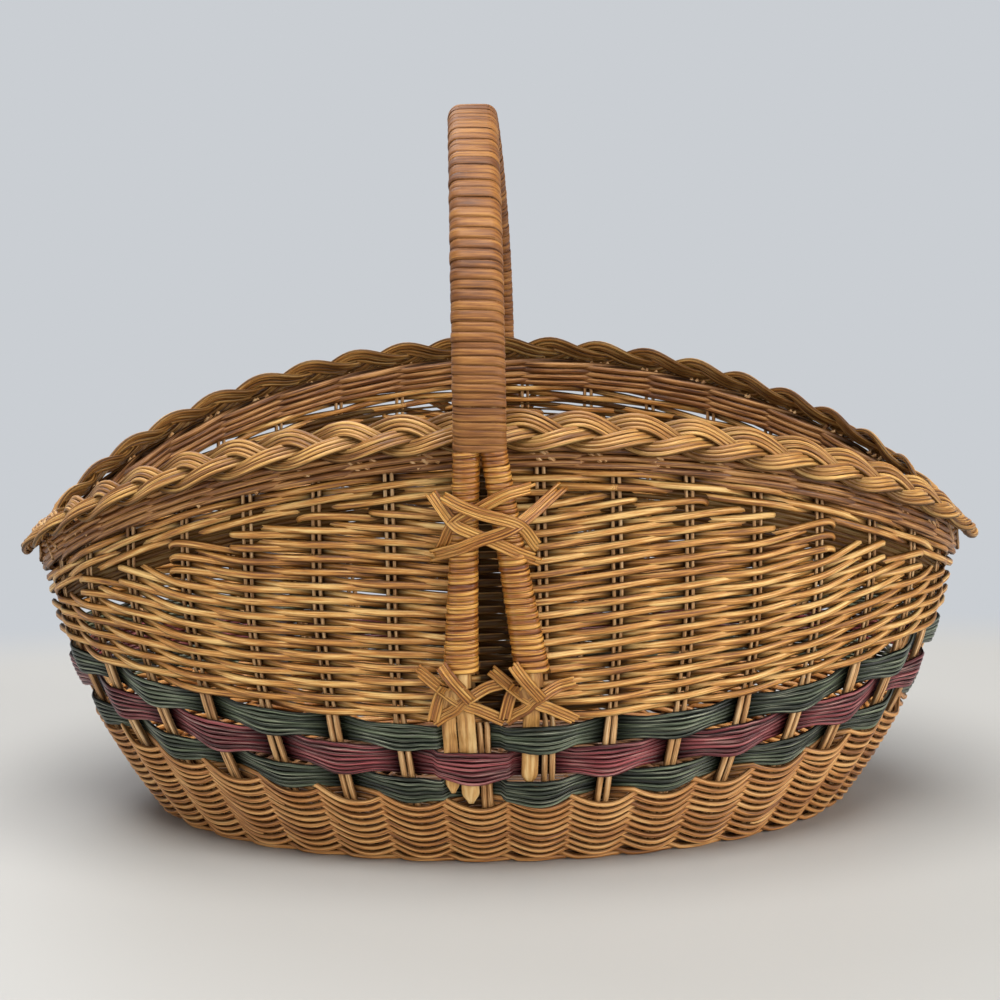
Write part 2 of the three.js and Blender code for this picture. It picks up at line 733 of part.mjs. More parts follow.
// Least distance between points of one loop and points of the next
function leastSelfGap(rings) {
  let least = Infinity;
  for (let i = 0; i + LOOP_STEPS - 1 < rings.length; i++) {
    for (const reach of [LOOP_STEPS - 1, LOOP_STEPS, LOOP_STEPS + 1]) {
      if (i + reach >= rings.length) continue;
      for (const p of rings[i]) {
        for (const q of rings[i + reach]) least = Math.min(least, p.distanceTo(q));
      }
    }
  }
  return least;
}

// The ribbon's end, run on straight past its last ring
function straightEnd(ring, neighbour) {
  return ring.map((p, k) => {
    const run = p.clone().sub(neighbour[k]).setLength(WRAP_TAIL);
    return p.clone().add(run);
  });
}

// Place along the bow for a length measured from the front split
const bowLengths = [0];
for (let i = 1; i <= BOW_SAMPLES; i++) {
  const step = bowPoint(i / BOW_SAMPLES).distanceTo(bowPoint((i - 1) / BOW_SAMPLES));
  bowLengths.push(bowLengths[i - 1] + step);
}
const bowLength = bowLengths[BOW_SAMPLES];

function bowPartAt(length) {
  let i = 1;
  while (i < BOW_SAMPLES && bowLengths[i] < length) i++;
  const step = bowLengths[i] - bowLengths[i - 1];
  return (i - 1 + (length - bowLengths[i - 1]) / step) / BOW_SAMPLES;
}

function bowPlace(length, { x, y }) {
  const part = bowPartAt(length);
  return bowPoint(part).addScaledVector(SIDEWAYS, x).addScaledVector(bowOut(part), y);
}
addPiece(
  "bow_wrap",
  windingGeometry("bow_wrap", BOW_LOOPS, bowLength, () => ROD_SPACING / 2, bowPlace),
  COLOURS.wrap,
);

const LEGS = [
  ["front_left", -1, -1],
  ["front_right", -1, 1],
  ["back_left", 1, -1],
  ["back_right", 1, 1],
];
for (const [place, face, rodSide] of LEGS) {
  const name = place + "_leg_wrap";
  const legPlace = (length, { x, y }) => {
    const middle = legPoint(face, rodSide, LEG_WRAP_TOP_Z - length);
    return middle.add(new THREE.Vector3(x, y, 0));
  };
  const spreadAt = (length) => legSpread(LEG_WRAP_TOP_Z - length);
  const full = LEG_WRAP_TOP_Z - LEG_WRAP_END_Z;
  addPiece(name, windingGeometry(name, LEG_LOOPS, full, spreadAt, legPlace), COLOURS.wrap);
}

// How far out a lashing lies over the two legs at a place along X: over the wraps, straight between
// the legs, and falling away beside them
const LASHING_RADIUS =
  WRAP_REACH / Math.cos(Math.PI / LOOP_STEPS) + LASHING_CLEARANCE + LASHING_THICKNESS / 2;

function lashingOut(face, x, z) {
  const [left, right] = legSides(face, z);
  const past = Math.max(left - x, x - right, 0);
  const bend = Math.min(past / LASHING_RADIUS, Math.SQRT1_2);
  const fall = Math.max(past - LASHING_RADIUS * Math.SQRT1_2, 0);
  const out = Math.abs(legPoint(face, 1, z).y);
  return out + LASHING_RADIUS * Math.sqrt(1 - bend * bend) - fall;
}

// Where the two legs' wraps begin to turn back on their outer sides, along X
function legSides(face, z) {
  const spread = legSpread(z);
  return [legPoint(face, -1, z).x - spread, legPoint(face, 1, z).x + spread];
}

// One flat band of a lashing, from low or high on one side to low or high on the other
function bandGeometry(face, fromZ, toZ) {
  const [left, right] = legSides(face, LASHING_Z);
  const past = LASHING_RADIUS + LASHING_REACH;
  const rings = [];
  for (let i = 0; i <= LASHING_STEPS; i++) {
    const part = i / LASHING_STEPS;
    const x = left - past + (right - left + 2 * past) * part;
    const z = fromZ + (toZ - fromZ) * part;
    const corner = (rise, thick) =>
      new THREE.Vector3(x, face * (lashingOut(face, x, z) + thick), z + rise);
    const [h, t] = [LASHING_BAND / 2, LASHING_THICKNESS / 2];
    rings.push([corner(-h, -t), corner(-h, t), corner(h, t), corner(h, -t)]);
  }
  return loft(rings, false);
}

function solidFrom(geometry) {
  const merged = mergeVertices(geometry);
  return new wasm.Manifold(
    new wasm.Mesh({
      numProp: 3,
      vertProperties: merged.attributes.position.array,
      triVerts: new Uint32Array(merged.index.array),
    }),
  );
}

function geometryFrom(solid) {
  const mesh = solid.getMesh();
  const geometry = new THREE.BufferGeometry();
  const positions = new THREE.BufferAttribute(mesh.vertProperties, 3);
  geometry.setAttribute("position", positions);
  geometry.setIndex(new THREE.BufferAttribute(mesh.triVerts, 1));
  return geometry;
}

function lashingGeometry(face) {
  const [low, high] = [LASHING_Z - LASHING_HEIGHT / 2, LASHING_Z + LASHING_HEIGHT / 2];
  return geometryFrom(
    solidFrom(bandGeometry(face, low, high))
      .add(solidFrom(bandGeometry(face, high, low)))
      .add(solidFrom(bandGeometry(face, LASHING_Z, LASHING_Z))),
  );
}
addPiece("front_star_lashing", lashingGeometry(-1), COLOURS.wrap);
addPiece("back_star_lashing", lashingGeometry(1), COLOURS.wrap);

export default basket;
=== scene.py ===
# Harvest basket in stained round reed: woven wall with three coloured ribbons, plaited border,
# and a fixed bow handle of two rods wrapped with flat reed.
import math

import bpy
import numpy as np
from mathutils import Matrix, Vector


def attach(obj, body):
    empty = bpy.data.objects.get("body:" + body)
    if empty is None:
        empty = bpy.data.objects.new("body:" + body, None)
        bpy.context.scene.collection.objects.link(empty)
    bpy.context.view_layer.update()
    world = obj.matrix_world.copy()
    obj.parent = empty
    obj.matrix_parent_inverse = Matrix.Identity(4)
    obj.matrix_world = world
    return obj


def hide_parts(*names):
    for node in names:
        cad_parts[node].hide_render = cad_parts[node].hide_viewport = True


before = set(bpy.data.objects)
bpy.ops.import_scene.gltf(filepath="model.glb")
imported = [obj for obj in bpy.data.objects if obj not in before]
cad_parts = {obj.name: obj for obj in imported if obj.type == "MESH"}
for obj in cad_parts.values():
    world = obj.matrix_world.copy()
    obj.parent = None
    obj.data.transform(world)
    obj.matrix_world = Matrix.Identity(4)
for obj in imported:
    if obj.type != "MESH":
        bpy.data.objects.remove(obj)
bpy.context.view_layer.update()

MM = 0.001
TURN = 2 * math.pi
SEED = 36
rng = np.random.default_rng(SEED)

# Sizes, in millimetres
# Wall: an oval that widens upward, through the middle of the stakes
BASE_HALF_LENGTH, BASE_HALF_DEPTH = 157, 122
WALL_HALF_LENGTH, WALL_HALF_DEPTH = 210, 147
ENDS_UPRIGHT_Z, SIDES_UPRIGHT_Z = 125, 75
ENDS_FLARE, SIDES_FLARE = 1.8, 2.0
SIDES_LEAN_IN = 7
# Rim: the height of the plait's middle
RIM_END_Z, RIM_SIDE_Z = 128, 194
RIM_SWEEP, RIM_END_ROUND = 0.66, 0.02
# Stakes and weave
STAKE_PAIRS = 36
SIDE_STAKES = STAKE_PAIRS // 2
STAKE_RADIUS, STAKE_TIP_RADIUS = 1.45, 0.9
STAKE_SPREAD = 1.6
STAKE_FOOT_Z, STAKE_TOP_GAP = 1.6, 4.0
REED_HALF_HEIGHT, REED_HALF_DEPTH = 1.76, 1.35
WEAVE_SWING = 2.75
ROW_PITCH = 2.98
LOW_ROUNDS, RIM_ROUNDS = 4, 3
TURN_BACK = 0.26
SLAT_TUCK = 7
WALE_HEIGHT = 9
WALE_DROP = 6.53
BAND_SIDE_Z, BAND_END_RISE, BAND_HALF = 49, 18.5, 18
# Plait
PLAIT_PERIODS, PLAIT_START = 15, 0.71
PLAIT_TILT = math.radians(42)
PLAIT_OVERHANG = 6
PLAIT_SWAY, PLAIT_LIFT = 6.3, 2.1
# Handle
ROD_RADIUS, ROD_SPACING = 4.6, 11
HANDLE_TOP_Z, SPLIT_Z = 325, 188
WRAP_REACH = 6.0
BOW_HALF_DEPTH, LEG_HALF_DEPTH = 161.96, 158.1
BOW_FULLNESS = 0.92
FRONT_LEAN, BACK_LEAN, LEAN_START = -9.6, 0.0, 0.45
LEG_WRAP_START_Z, LEG_WRAP_END_Z = SPLIT_Z - 1.0, 92
LEG_SPREAD = 1.9
FRONT_FOOT_SHIFT = -4
SIDEWAYS, UPWARD = np.array([1.0, 0, 0]), np.array([0, 0, 1.0])

OVAL_SAMPLES = 2880


# The basket's surfaces
def share(value, full):
    """Value over full, kept between 0 and 1."""
    return np.clip(value / full, 0, 1)


def ease(value, low, high):
    """Smooth step from 0 at low to 1 at high."""
    s = np.clip((value - low) / (high - low), 0, 1)
    return s * s * (3 - 2 * s)


def unit(vectors):
    """Vectors divided by their own lengths."""
    return vectors / np.linalg.norm(vectors, axis=-1, keepdims=True)


def cubic(knots, values, fine):
    """Smooth curve through values at knots: piecewise cubic with slopes from the neighbours."""
    slopes = np.gradient(values, knots)
    i = np.clip(np.searchsorted(knots, fine, side="right") - 1, 0, len(knots) - 2)
    h = knots[i + 1] - knots[i]
    u = (fine - knots[i]) / h
    return ((2 * u**3 - 3 * u**2 + 1) * values[i] + (u**3 - 2 * u**2 + u) * h * slopes[i]
            + (-2 * u**3 + 3 * u**2) * values[i + 1] + (u**3 - u**2) * h * slopes[i + 1])


def half_length(z):
    """The wall's half length at height z: it widens by 1 - (1 - z / upright height)^flare."""
    spread = 1 - (1 - share(z, ENDS_UPRIGHT_Z)) ** ENDS_FLARE
    return BASE_HALF_LENGTH + (WALL_HALF_LENGTH - BASE_HALF_LENGTH) * spread


def half_depth(z):
    """The wall's half depth at height z: it widens as the half length does, and above the upright
    height it leans in by the square of the way up to the rim."""
    lean = share(z - SIDES_UPRIGHT_Z, RIM_SIDE_Z - SIDES_UPRIGHT_Z)
    spread = 1 - (1 - share(z, SIDES_UPRIGHT_Z)) ** SIDES_FLARE
    out = BASE_HALF_DEPTH + (WALL_HALF_DEPTH - BASE_HALF_DEPTH) * spread
    return out - SIDES_LEAN_IN * lean**2


def even_angles(a, b):
    """Angle on an oval at a share of its length, from the front middle toward +X, read off the
    summed lengths of many short steps round it."""
    fine = np.linspace(0, TURN, OVAL_SAMPLES + 1) - TURN / 4
    middle = (fine[1:] + fine[:-1]) / 2
    steps = np.hypot(a * np.sin(middle), b * np.cos(middle))
    lengths = np.concatenate([[0], np.cumsum(steps)]) / steps.sum()
    return lambda t: np.interp(t % 1, lengths, fine) + TURN * np.floor(t)


BAND_MEAN_Z = BAND_SIDE_Z + BAND_END_RISE / 2
wall_angle = even_angles(half_length(BAND_MEAN_Z), half_depth(BAND_MEAN_Z))
RIM_A = half_length(RIM_END_Z) + PLAIT_OVERHANG
RIM_B = half_depth(RIM_SIDE_Z) + PLAIT_OVERHANG
rim_angle = even_angles(RIM_A, RIM_B)


def wall_point(t, z):
    """Point on the oval of height z, at a share t of the way round: half length times the cosine
    and half depth times the sine of the angle there."""
    angle = wall_angle(t)
    t, z = np.broadcast_arrays(t, z)
    return np.stack([half_length(z) * np.cos(angle), half_depth(z) * np.sin(angle), z], -1)


def wall_frame(t, z):
    """Unit directions along the wall and outward, from small steps both ways."""
    along = unit(wall_point(t + 1e-3, z) - wall_point(t - 1e-3, z))
    up = unit(wall_point(t, z + 0.5) - wall_point(t, z - 0.5))
    return along, unit(np.cross(along, up))


def rim_height(angle):
    """Height of the rim: from its ends to its sides it rises by (sine^2 + a small round)^sweep,
    scaled to run from 0 to 1."""
    def rise(x):
        return (x * x + RIM_END_ROUND) ** RIM_SWEEP

    side = (rise(np.sin(angle)) - rise(0)) / (rise(1) - rise(0))
    return RIM_END_Z + (RIM_SIDE_Z - RIM_END_Z) * side


def band_middle(angle):
    """Middle height of the three ribbons, which rises toward the ends by the cosine squared."""
    return BAND_SIDE_Z + BAND_END_RISE * np.cos(angle) ** 2


def band_top(angle):
    """Upper edge of the ribbons."""
    return band_middle(angle) + BAND_HALF


def wale_bottom(angle):
    """Lower edge of the top wale, a fixed way below the rim."""
    return rim_height(angle) - WALE_DROP - WALE_HEIGHT


def stake_place(s):
    """Share of the way round at stake number s, which may lie between two stakes."""
    return (s + 0.5) / STAKE_PAIRS


def crowned(wave, sharpness):
    """A wave between -1 and 1 made into nearly straight runs between rounded crowns: the arcsine of
    the wave shrunk by sharpness, which is a little under 1."""
    return np.arcsin(sharpness * wave) / math.asin(sharpness)


def drift(count, knots, amount):
    """Smooth random wander along closed reeds: a sum of a few sine waves with random phases."""
    turns = np.linspace(0, TURN, knots, endpoint=False)
    total = np.zeros((count, knots))
    for waves in (2, 3, 5, 9, 14, 23):
        phase = rng.uniform(0, TURN, (count, 1))
        size = rng.normal(0, 1, (count, 1)) / waves**0.35
        total += size * np.sin(waves * turns + phase)
    return amount * total / 2


# Reeds as meshes
def new_object(name, data):
    """Puts an object that shows the data into the scene."""
    obj = bpy.data.objects.new(name, data)
    bpy.context.scene.collection.objects.link(obj)
    return obj


class Reeds:
    """Gathers tubes that become one piece: positions, faces, UVs along and round each tube, and
    two values on the points: tint, which differs from reed to reed, and painted shade, which is
    1 where the reed is painted fully dark as shade, deep in the weave or in other parts' shade."""

    def __init__(self):
        self.co, self.quads, self.caps, self.uv = [], [], [], []
        self.cap_uv, self.tint, self.tucked = [], [], []
        self.count = 0

    def add(self, paths, hints, half_width, half_thick, sides=8, closed=False, tucked=0.0,
            behind=0.0, square=0.0, tint=None):
        """Tubes along paths (reeds, points, 3), or one tube along a path (points, 3). Each section
        is an ellipse: path + across half_width cosine + out half_thick sine, where out is the hint
        made square to the path. square above 0 divides cosine and sine by
        (|cosine|^p + |sine|^p)^(1/p), p = 2 + 6 square, toward a flat strip. behind is about 1 on
        a reed behind the wall and about -1 on one in front of it. The points' painted shade is the
        given shade + behind (sine + 0.25), kept between 0 and 1: shade painted on the whole reed,
        and on its face that shows through the wall from beyond the stakes."""
        paths = np.asarray(paths, float)
        if paths.ndim == 2:
            paths = paths[None]
        m, n = paths.shape[:2]
        spans = n if closed else n - 1
        ahead = np.roll(paths, -1, 1)
        along = unit(ahead - np.roll(paths, 1, 1) if closed else np.gradient(paths, axis=1))
        hints = np.broadcast_to(hints, paths.shape)
        out = unit(hints - (hints * along).sum(-1, keepdims=True) * along)
        across = np.cross(along, out)
        around = TURN * (np.arange(sides) + 0.5) / sides
        c, s = np.cos(around), np.sin(around)
        if square:
            power = 2 + 6 * square
            fill = (np.abs(c) ** power + np.abs(s) ** power) ** (-1 / power)
            c, s = c * fill, s * fill

        def on_points(values):
            return np.broadcast_to(values, (m, n))[:, :, None]

        co = (paths[:, :, None]
              + across[:, :, None] * (on_points(half_width) * c)[..., None]
              + out[:, :, None] * (on_points(half_thick) * s)[..., None])
        reed, i, k = np.indices((m, spans, sides))
        j, l = (i + 1) % n, (k + 1) % sides

        def number(point, side):
            return self.count + (reed * n + point) * sides + side

        quads = np.stack([number(i, k), number(j, k), number(j, l), number(i, l)], -1)
        steps = np.linalg.norm(ahead - paths, axis=-1)[:, :spans]
        lengths = np.concatenate([np.zeros((m, 1)), np.cumsum(steps, 1)], 1)
        lengths += rng.uniform(0, 900, (m, 1))
        u, u_next = lengths[reed, i] * MM, lengths[reed, i + 1] * MM
        v, v_next = (k + 0.5) / sides, (k + 1.5) / sides
        uv = np.stack([u, v, u_next, v, u_next, v_next, u, v_next], -1)
        self.quads.append(quads.reshape(-1, 4))
        self.uv.append(uv.reshape(-1, 2))
        if not closed:
            first = self.count + (np.arange(m) * n * sides)[:, None] + np.arange(sides)
            last = first[:, ::-1] + (n - 1) * sides
            self.caps.append((sides, np.concatenate([first, last])))
            ends = np.concatenate([lengths[:, 0], lengths[:, -1]]) * MM
            self.cap_uv.append(np.repeat(
                np.stack([ends, np.full(2 * m, 0.5)], -1), sides, axis=0))
        self.co.append(co.reshape(-1, 3))
        if tint is None:
            tint = rng.uniform(0, 1, m)
        tint = np.broadcast_to(np.reshape(tint, (m, -1)), (m, n))
        self.tint.append(np.repeat(tint.reshape(-1), sides))
        # Painted shade: the given shade over the whole reed, and shade on its face that shows
        # through the wall from beyond the stakes
        depth = on_points(behind) * (np.sin(around) + 0.25) + on_points(tucked)
        self.tucked.append(np.clip(depth, 0, 1).reshape(-1))
        self.count += m * n * sides

    def piece(self, name, material, slot, replaces=()):
        """Makes the gathered tubes into one Blender object that rides on the basket."""
        co = np.concatenate(self.co) * MM
        loops = np.concatenate([q.reshape(-1) for q in self.quads]
                               + [c.reshape(-1) for _, c in self.caps])
        sizes = np.concatenate([np.full(len(q), 4) for q in self.quads]
                               + [np.full(len(c), sides) for sides, c in self.caps])
        smooth = np.arange(len(sizes)) < sum(len(q) for q in self.quads)
        mesh = bpy.data.meshes.new(name)
        mesh.vertices.add(len(co))
        mesh.vertices.foreach_set("co", co.astype(np.float32).reshape(-1))
        mesh.loops.add(len(loops))
        mesh.loops.foreach_set("vertex_index", loops.astype(np.int32))
        mesh.polygons.add(len(sizes))
        starts = np.concatenate([[0], np.cumsum(sizes)[:-1]])
        mesh.polygons.foreach_set("loop_start", starts.astype(np.int32))
        mesh.update(calc_edges=True)
        mesh.polygons.foreach_set("use_smooth", smooth)
        layer = mesh.uv_layers.new(name="reed")
        layer.uv.foreach_set("vector", np.concatenate(
            self.uv + self.cap_uv).astype(np.float32).reshape(-1))
        for word, values in (("tint", self.tint), ("tucked", self.tucked)):
            attribute = mesh.attributes.new(word, "FLOAT", "POINT")
            attribute.data.foreach_set("value", np.concatenate(values).astype(np.float32))
        mesh.materials.append(material)
        obj = new_object(name, mesh)
        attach(obj, "root")
        if replaces:
            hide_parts(*replaces)


# Materials
def feed(tree, node, inputs):
    """Sets inputs of a node, by name or number: to a value, or by a link from another node's
    output. Returns the node."""
    for key, value in inputs.items():
        if isinstance(value, bpy.types.NodeSocket):
            tree.links.new(value, node.inputs[key])
        else:
            node.inputs[key].default_value = value
    return node


def add_node(tree, kind, inputs, **settings):
    """Adds a node with these settings and feeds its inputs. Returns the node."""
    made = tree.nodes.new(kind)
    for key, value in settings.items():
        setattr(made, key, value)
    return feed(tree, made, inputs)


def colour(r, g, b):
    """Linear colour from the 0 to 255 values that a screen shows."""
    def linear(v):
        v /= 255
        return v / 12.92 if v <= 0.04045 else ((v + 0.055) / 1.055) ** 2.4
    return (linear(r), linear(g), linear(b), 1.0)


def reed_material(name, dark, middle, light, shade_tone, grain=2.2, roughness=0.5, coat=0.12,
                  wear_and_highlight=None, run=55.0, edge_shade=0.85, edge_power=4.0):
    """Stained reed under varnish. Long grain runs with the reed: noise that is stretched along
    the UVs. A slow noise and the reed's own tint shift the stain between dark, middle and light.
    Painted shade darkens the reed toward its shade colour, and takes the gloss away, by the points'
    painted shade value and, as a power of |cos| of the angle round it, along its two edges where
    reeds meet. Pale streaks, kept off the painted shade, show partly wear and partly painted
    highlights."""
    material = bpy.data.materials.new(name)
    material.use_nodes = True
    tree = material.node_tree

    def combine(operation, a, b=0.0, clamp=False):
        return add_node(tree, "ShaderNodeMath", {0: a, 1: b}, operation=operation,
                        use_clamp=clamp).outputs[0]

    def attribute(word):
        return add_node(tree, "ShaderNodeAttribute", {}, attribute_name=word).outputs["Fac"]

    tint, tucked = attribute("tint"), attribute("tucked")
    uv = add_node(tree, "ShaderNodeUVMap", {}, uv_map="reed").outputs["UV"]
    along, around = add_node(tree, "ShaderNodeSeparateXYZ", {0: uv}).outputs[:2]

    def noise(along_scale, around_scale, offset, detail):
        place = add_node(tree, "ShaderNodeCombineXYZ", {
            "X": combine("MULTIPLY", along, along_scale),
            "Y": combine("MULTIPLY", around, around_scale),
            "Z": combine("MULTIPLY", tint, offset)})
        return add_node(tree, "ShaderNodeTexNoise", {
            "Vector": place.outputs[0], "Scale": 1.0, "Detail": detail,
            "Roughness": 0.6}, noise_dimensions="3D").outputs["Fac"]

    def mix(factor, a, b):
        return add_node(tree, "ShaderNodeMix", {"Factor": factor, "A": a, "B": b},
                        data_type="RGBA", blend_type="MIX").outputs["Result"]

    streaks = noise(run, 14.0, 31.0, 4.0)
    patches = noise(26.0, 1.5, 57.0, 2.0)
    fleck = noise(2.2 * run, 16.0, 83.0, 2.0)

    level = combine("ADD", combine("MULTIPLY", streaks, grain), patches)
    level = combine("ADD", level, combine("MULTIPLY", tint, 0.24))
    level = combine("SUBTRACT", level, 0.5 * grain + 0.12)
    ramp = add_node(tree, "ShaderNodeValToRGB", {"Fac": level})
    elements = ramp.color_ramp.elements
    elements[0].position, elements[0].color = 0.12, colour(*dark)
    elements[1].position, elements[1].color = 0.9, colour(*light)
    elements.new(0.5).color = colour(*middle)
    stain = ramp.outputs["Color"]
    # Pale streaks: partly wear, partly painted highlights, kept off the painted shade
    if wear_and_highlight:
        rub_and_highlight = combine("MULTIPLY", combine("SUBTRACT", fleck, 0.54), 5.0, clamp=True)
        crown = combine("SUBTRACT", 1.0, tucked, clamp=True)
        stain = mix(combine("MULTIPLY", rub_and_highlight, crown), stain, colour(*wear_and_highlight))

    # Painted shade along the reed's two edges, where it meets its neighbours, and from the points'
    # painted shade value
    edge = combine("ABSOLUTE", combine("COSINE", combine("MULTIPLY", around, TURN)))
    edge = combine("MULTIPLY", combine("POWER", edge, edge_power), edge_shade)
    shade_amount = combine("MAXIMUM", combine("MULTIPLY", tucked, 0.95), edge, clamp=True)
    bump = add_node(tree, "ShaderNodeBump", {
        "Strength": 0.55, "Distance": 0.00025,
        "Height": combine("ADD", streaks, combine("MULTIPLY", fleck, 0.6))})
    feed(tree, tree.nodes["Principled BSDF"], {
        "Base Color": mix(shade_amount, stain, colour(*shade_tone)),
        "Specular IOR Level": combine(
            "MULTIPLY", combine("SUBTRACT", 1.0, shade_amount, clamp=True), 0.5),
        "Roughness": combine("ADD", combine("MULTIPLY", fleck, 0.3), roughness - 0.15),
        "Coat Weight": coat, "Coat Roughness": 0.28, "Normal": bump.outputs["Normal"]})
    return material


# Colours of each reed: dark, middle and light stain, then the colour of its painted shade
honey_reed = reed_material(
    "honey_stained_reed", (120, 70, 24), (202, 138, 62), (248, 206, 130), (28, 14, 6),
    edge_shade=0.95, edge_power=2.8)
lower_reed = reed_material(
    "lower_wall_reed", (116, 68, 29), (196, 131, 66), (236, 184, 116), (32, 16, 8))
pale_reed = reed_material(
    "pale_stake_reed", (136, 88, 44), (206, 154, 96), (240, 204, 152), (60, 36, 20))
# The ribbons' pale streaks are partly wear and partly painted highlights
green_reed = reed_material(
    "green_stained_reed", (8, 12, 8), (34, 45, 31), (122, 134, 104), (3, 5, 3),
    wear_and_highlight=(192, 196, 168), roughness=0.4, grain=2.4, run=22.0, edge_shade=1.0, edge_power=1.8)
maroon_reed = reed_material(
    "maroon_stained_reed", (30, 5, 9), (98, 20, 31), (186, 92, 94), (9, 3, 4),
    wear_and_highlight=(220, 172, 160), roughness=0.4, grain=2.4, run=22.0, edge_shade=1.0, edge_power=1.8)
# The base's rows and sticks are coloured dark as painted shade: the floor inside the basket as if
# in shadow
base_reed = reed_material(
    "base_reed", (52, 30, 14), (104, 66, 34), (150, 106, 62), (22, 12, 6))
border_reed = reed_material(
    "border_reed", (98, 58, 20), (166, 112, 48), (222, 176, 102), (36, 19, 8))
# The top wale's colours are a darker copy of the honey reed's: painted shade under the border
wale_reed = reed_material(
    "top_wale_reed", (74, 38, 15), (142, 90, 42), (204, 150, 88), (28, 14, 6))
# The bow's wrap is the same reed as the legs' wraps, coloured darker: painted shade on the bow
wrap_reed = reed_material(
    "varnished_wrapping_reed", (92, 50, 16), (134, 82, 30), (172, 118, 54), (38, 19, 8),
    roughness=0.58, coat=0.0, grain=1.9, edge_shade=0.45)
leg_wrap_reed = reed_material(
    "leg_wrapping_reed", (104, 50, 12), (172, 106, 38), (230, 174, 86), (36, 16, 5),
    roughness=0.34, grain=2.6, edge_shade=0.9)
tie_reed = reed_material(
    "lashing_reed", (118, 62, 18), (194, 128, 50), (240, 190, 106), (40, 18, 6),
    roughness=0.36, grain=2.4, edge_shade=0.95, edge_power=3.0)
bare_rod = reed_material(
    "bare_handle_wood", (150, 98, 44), (212, 158, 88), (238, 200, 136), (90, 54, 26))


# Wall
ROUND_POINTS = 432
# How far the ribbons push the stakes beside the left and right front flat ends, and the heights
# between which the push sets in and lets go
STAKE_PUSH = (5.2, 3.5)
PUSH_SETS_IN, PUSH_LETS_GO = (6, 26), (66, 82)
STAKE_SWAY, SWAY_HEIGHT = 0.3, 17


def row_grid(start=0.5):
    """Stake numbers and shares of the way round, at even steps from a stake number, which is where
    a closed reed has its joint."""
    s = start + np.linspace(0, STAKE_PAIRS, ROUND_POINTS, endpoint=False)
    return s, stake_place(s)


def weave_paths(t, z, swing):
    """Reed paths: the wall's points at heights z, moved outward by swing. Returns them and the
    outward directions."""
    t, z = np.broadcast_arrays(t, z)
    _, out = wall_frame(t, z)
    return wall_point(t, z) + out * swing[..., None], out


def build_stakes():
    """Pairs of thin rods up the wall, each moved along it by half the pair's spread and a slow
    sine of the height. Above the ribbons they are thinner, and beside the handle's flat ends the
    ribbons push them to one side."""
    t = stake_place(np.arange(STAKE_PAIRS))[:, None]
    angle = wall_angle(t)
    top = rim_height(angle) - STAKE_TOP_GAP
    z = STAKE_FOOT_Z + (top - STAKE_FOOT_Z) * np.linspace(0, 1, 60)
    along, out = wall_frame(t, z)
    slim = ease(z, band_top(angle) - 3, band_top(angle) + 6)
    radius = STAKE_RADIUS + (STAKE_TIP_RADIUS - STAKE_RADIUS) * slim
    pushed = np.zeros((STAKE_PAIRS, 1))
    pushed[-1], pushed[0] = STAKE_PUSH
    in_band = ease(z, *PUSH_SETS_IN) * (1 - ease(z, *PUSH_LETS_GO))
    reeds = Reeds()
    for side in (-1, 1):
        sway = STAKE_SWAY * np.sin(z / SWAY_HEIGHT + rng.uniform(0, TURN, (STAKE_PAIRS, 1)))
        shift = side * (STAKE_SPREAD - 0.1 * slim) + sway + pushed * in_band
        # Near their tops, under the wale and the border, the stakes are painted dark as shade
        reeds.add(wall_point(t, z) + along * shift[..., None], out, radius, radius,
                  tucked=ease(z, top - 9, top - 6))
    reeds.piece("stake_rods", pale_reed, "stake_reed",
                ["stake_pair_%02d" % (j + 1) for j in range(STAKE_PAIRS)])


# Upper wall: each long side has half of the stakes, counted along it from -X at the front and from
# +X at the back. Rows climb by one pitch along a side, so that two weavers chase each other.
def short_row_counts():
    """Short rows at each stake of a side: an even number that keeps the pitch near its value."""
    angle = wall_angle(stake_place(np.arange(SIDE_STAKES) - SIDE_STAKES // 2))
    slots = (wale_bottom(angle) - band_top(angle)) / ROW_PITCH
    return np.maximum(2 * np.round((slots - 1 - LOW_ROUNDS - RIM_ROUNDS) / 2), 2).astype(int)


SHORT_ROWS = short_row_counts()


def stake_number(side, i):
    """Number round the whole wall of stake i of a side."""
    return i - SIDE_STAKES // 2 + SIDE_STAKES * side


def row_key(side, i, level, swing, past=0.0):
    """Point of a row at a stake of a side: its stake number round the whole wall, its height,
    which side of the stake it passes, and that side in step with the stakes' own alternation.
    level is the number of rows below it there."""
    s = stake_number(side, i)
    angle = wall_angle(stake_place(s + past))
    low, high = band_top(angle), wale_bottom(angle)
    slots = LOW_ROUNDS + SHORT_ROWS[i] + RIM_ROUNDS + 1
    z = low + (high - low) * (level + (i + 0.5) / SIDE_STAKES + 0.5) / slots
    if i == SIDE_STAKES // 2 and z < low + SLAT_TUCK:
        swing = -1
    return s + past, z, swing, -swing if s % 2 else swing


def swing_at(side, i, weaver):
    """Side that a weaver passes at a stake: its own at even stakes, the other at odd ones."""
    return -weaver if stake_number(side, i) % 2 else weaver


def rounds(first_side, half_rounds, below, weaver):
    """Half rounds over one long side after the other, above the given numbers of rows."""
    keys = []
    for half in range(half_rounds):
        side = (first_side + half) % 2
        keys += [row_key(side, i, below[i] + half, swing_at(side, i, weaver))
                 for i in range(SIDE_STAKES)]
    return keys


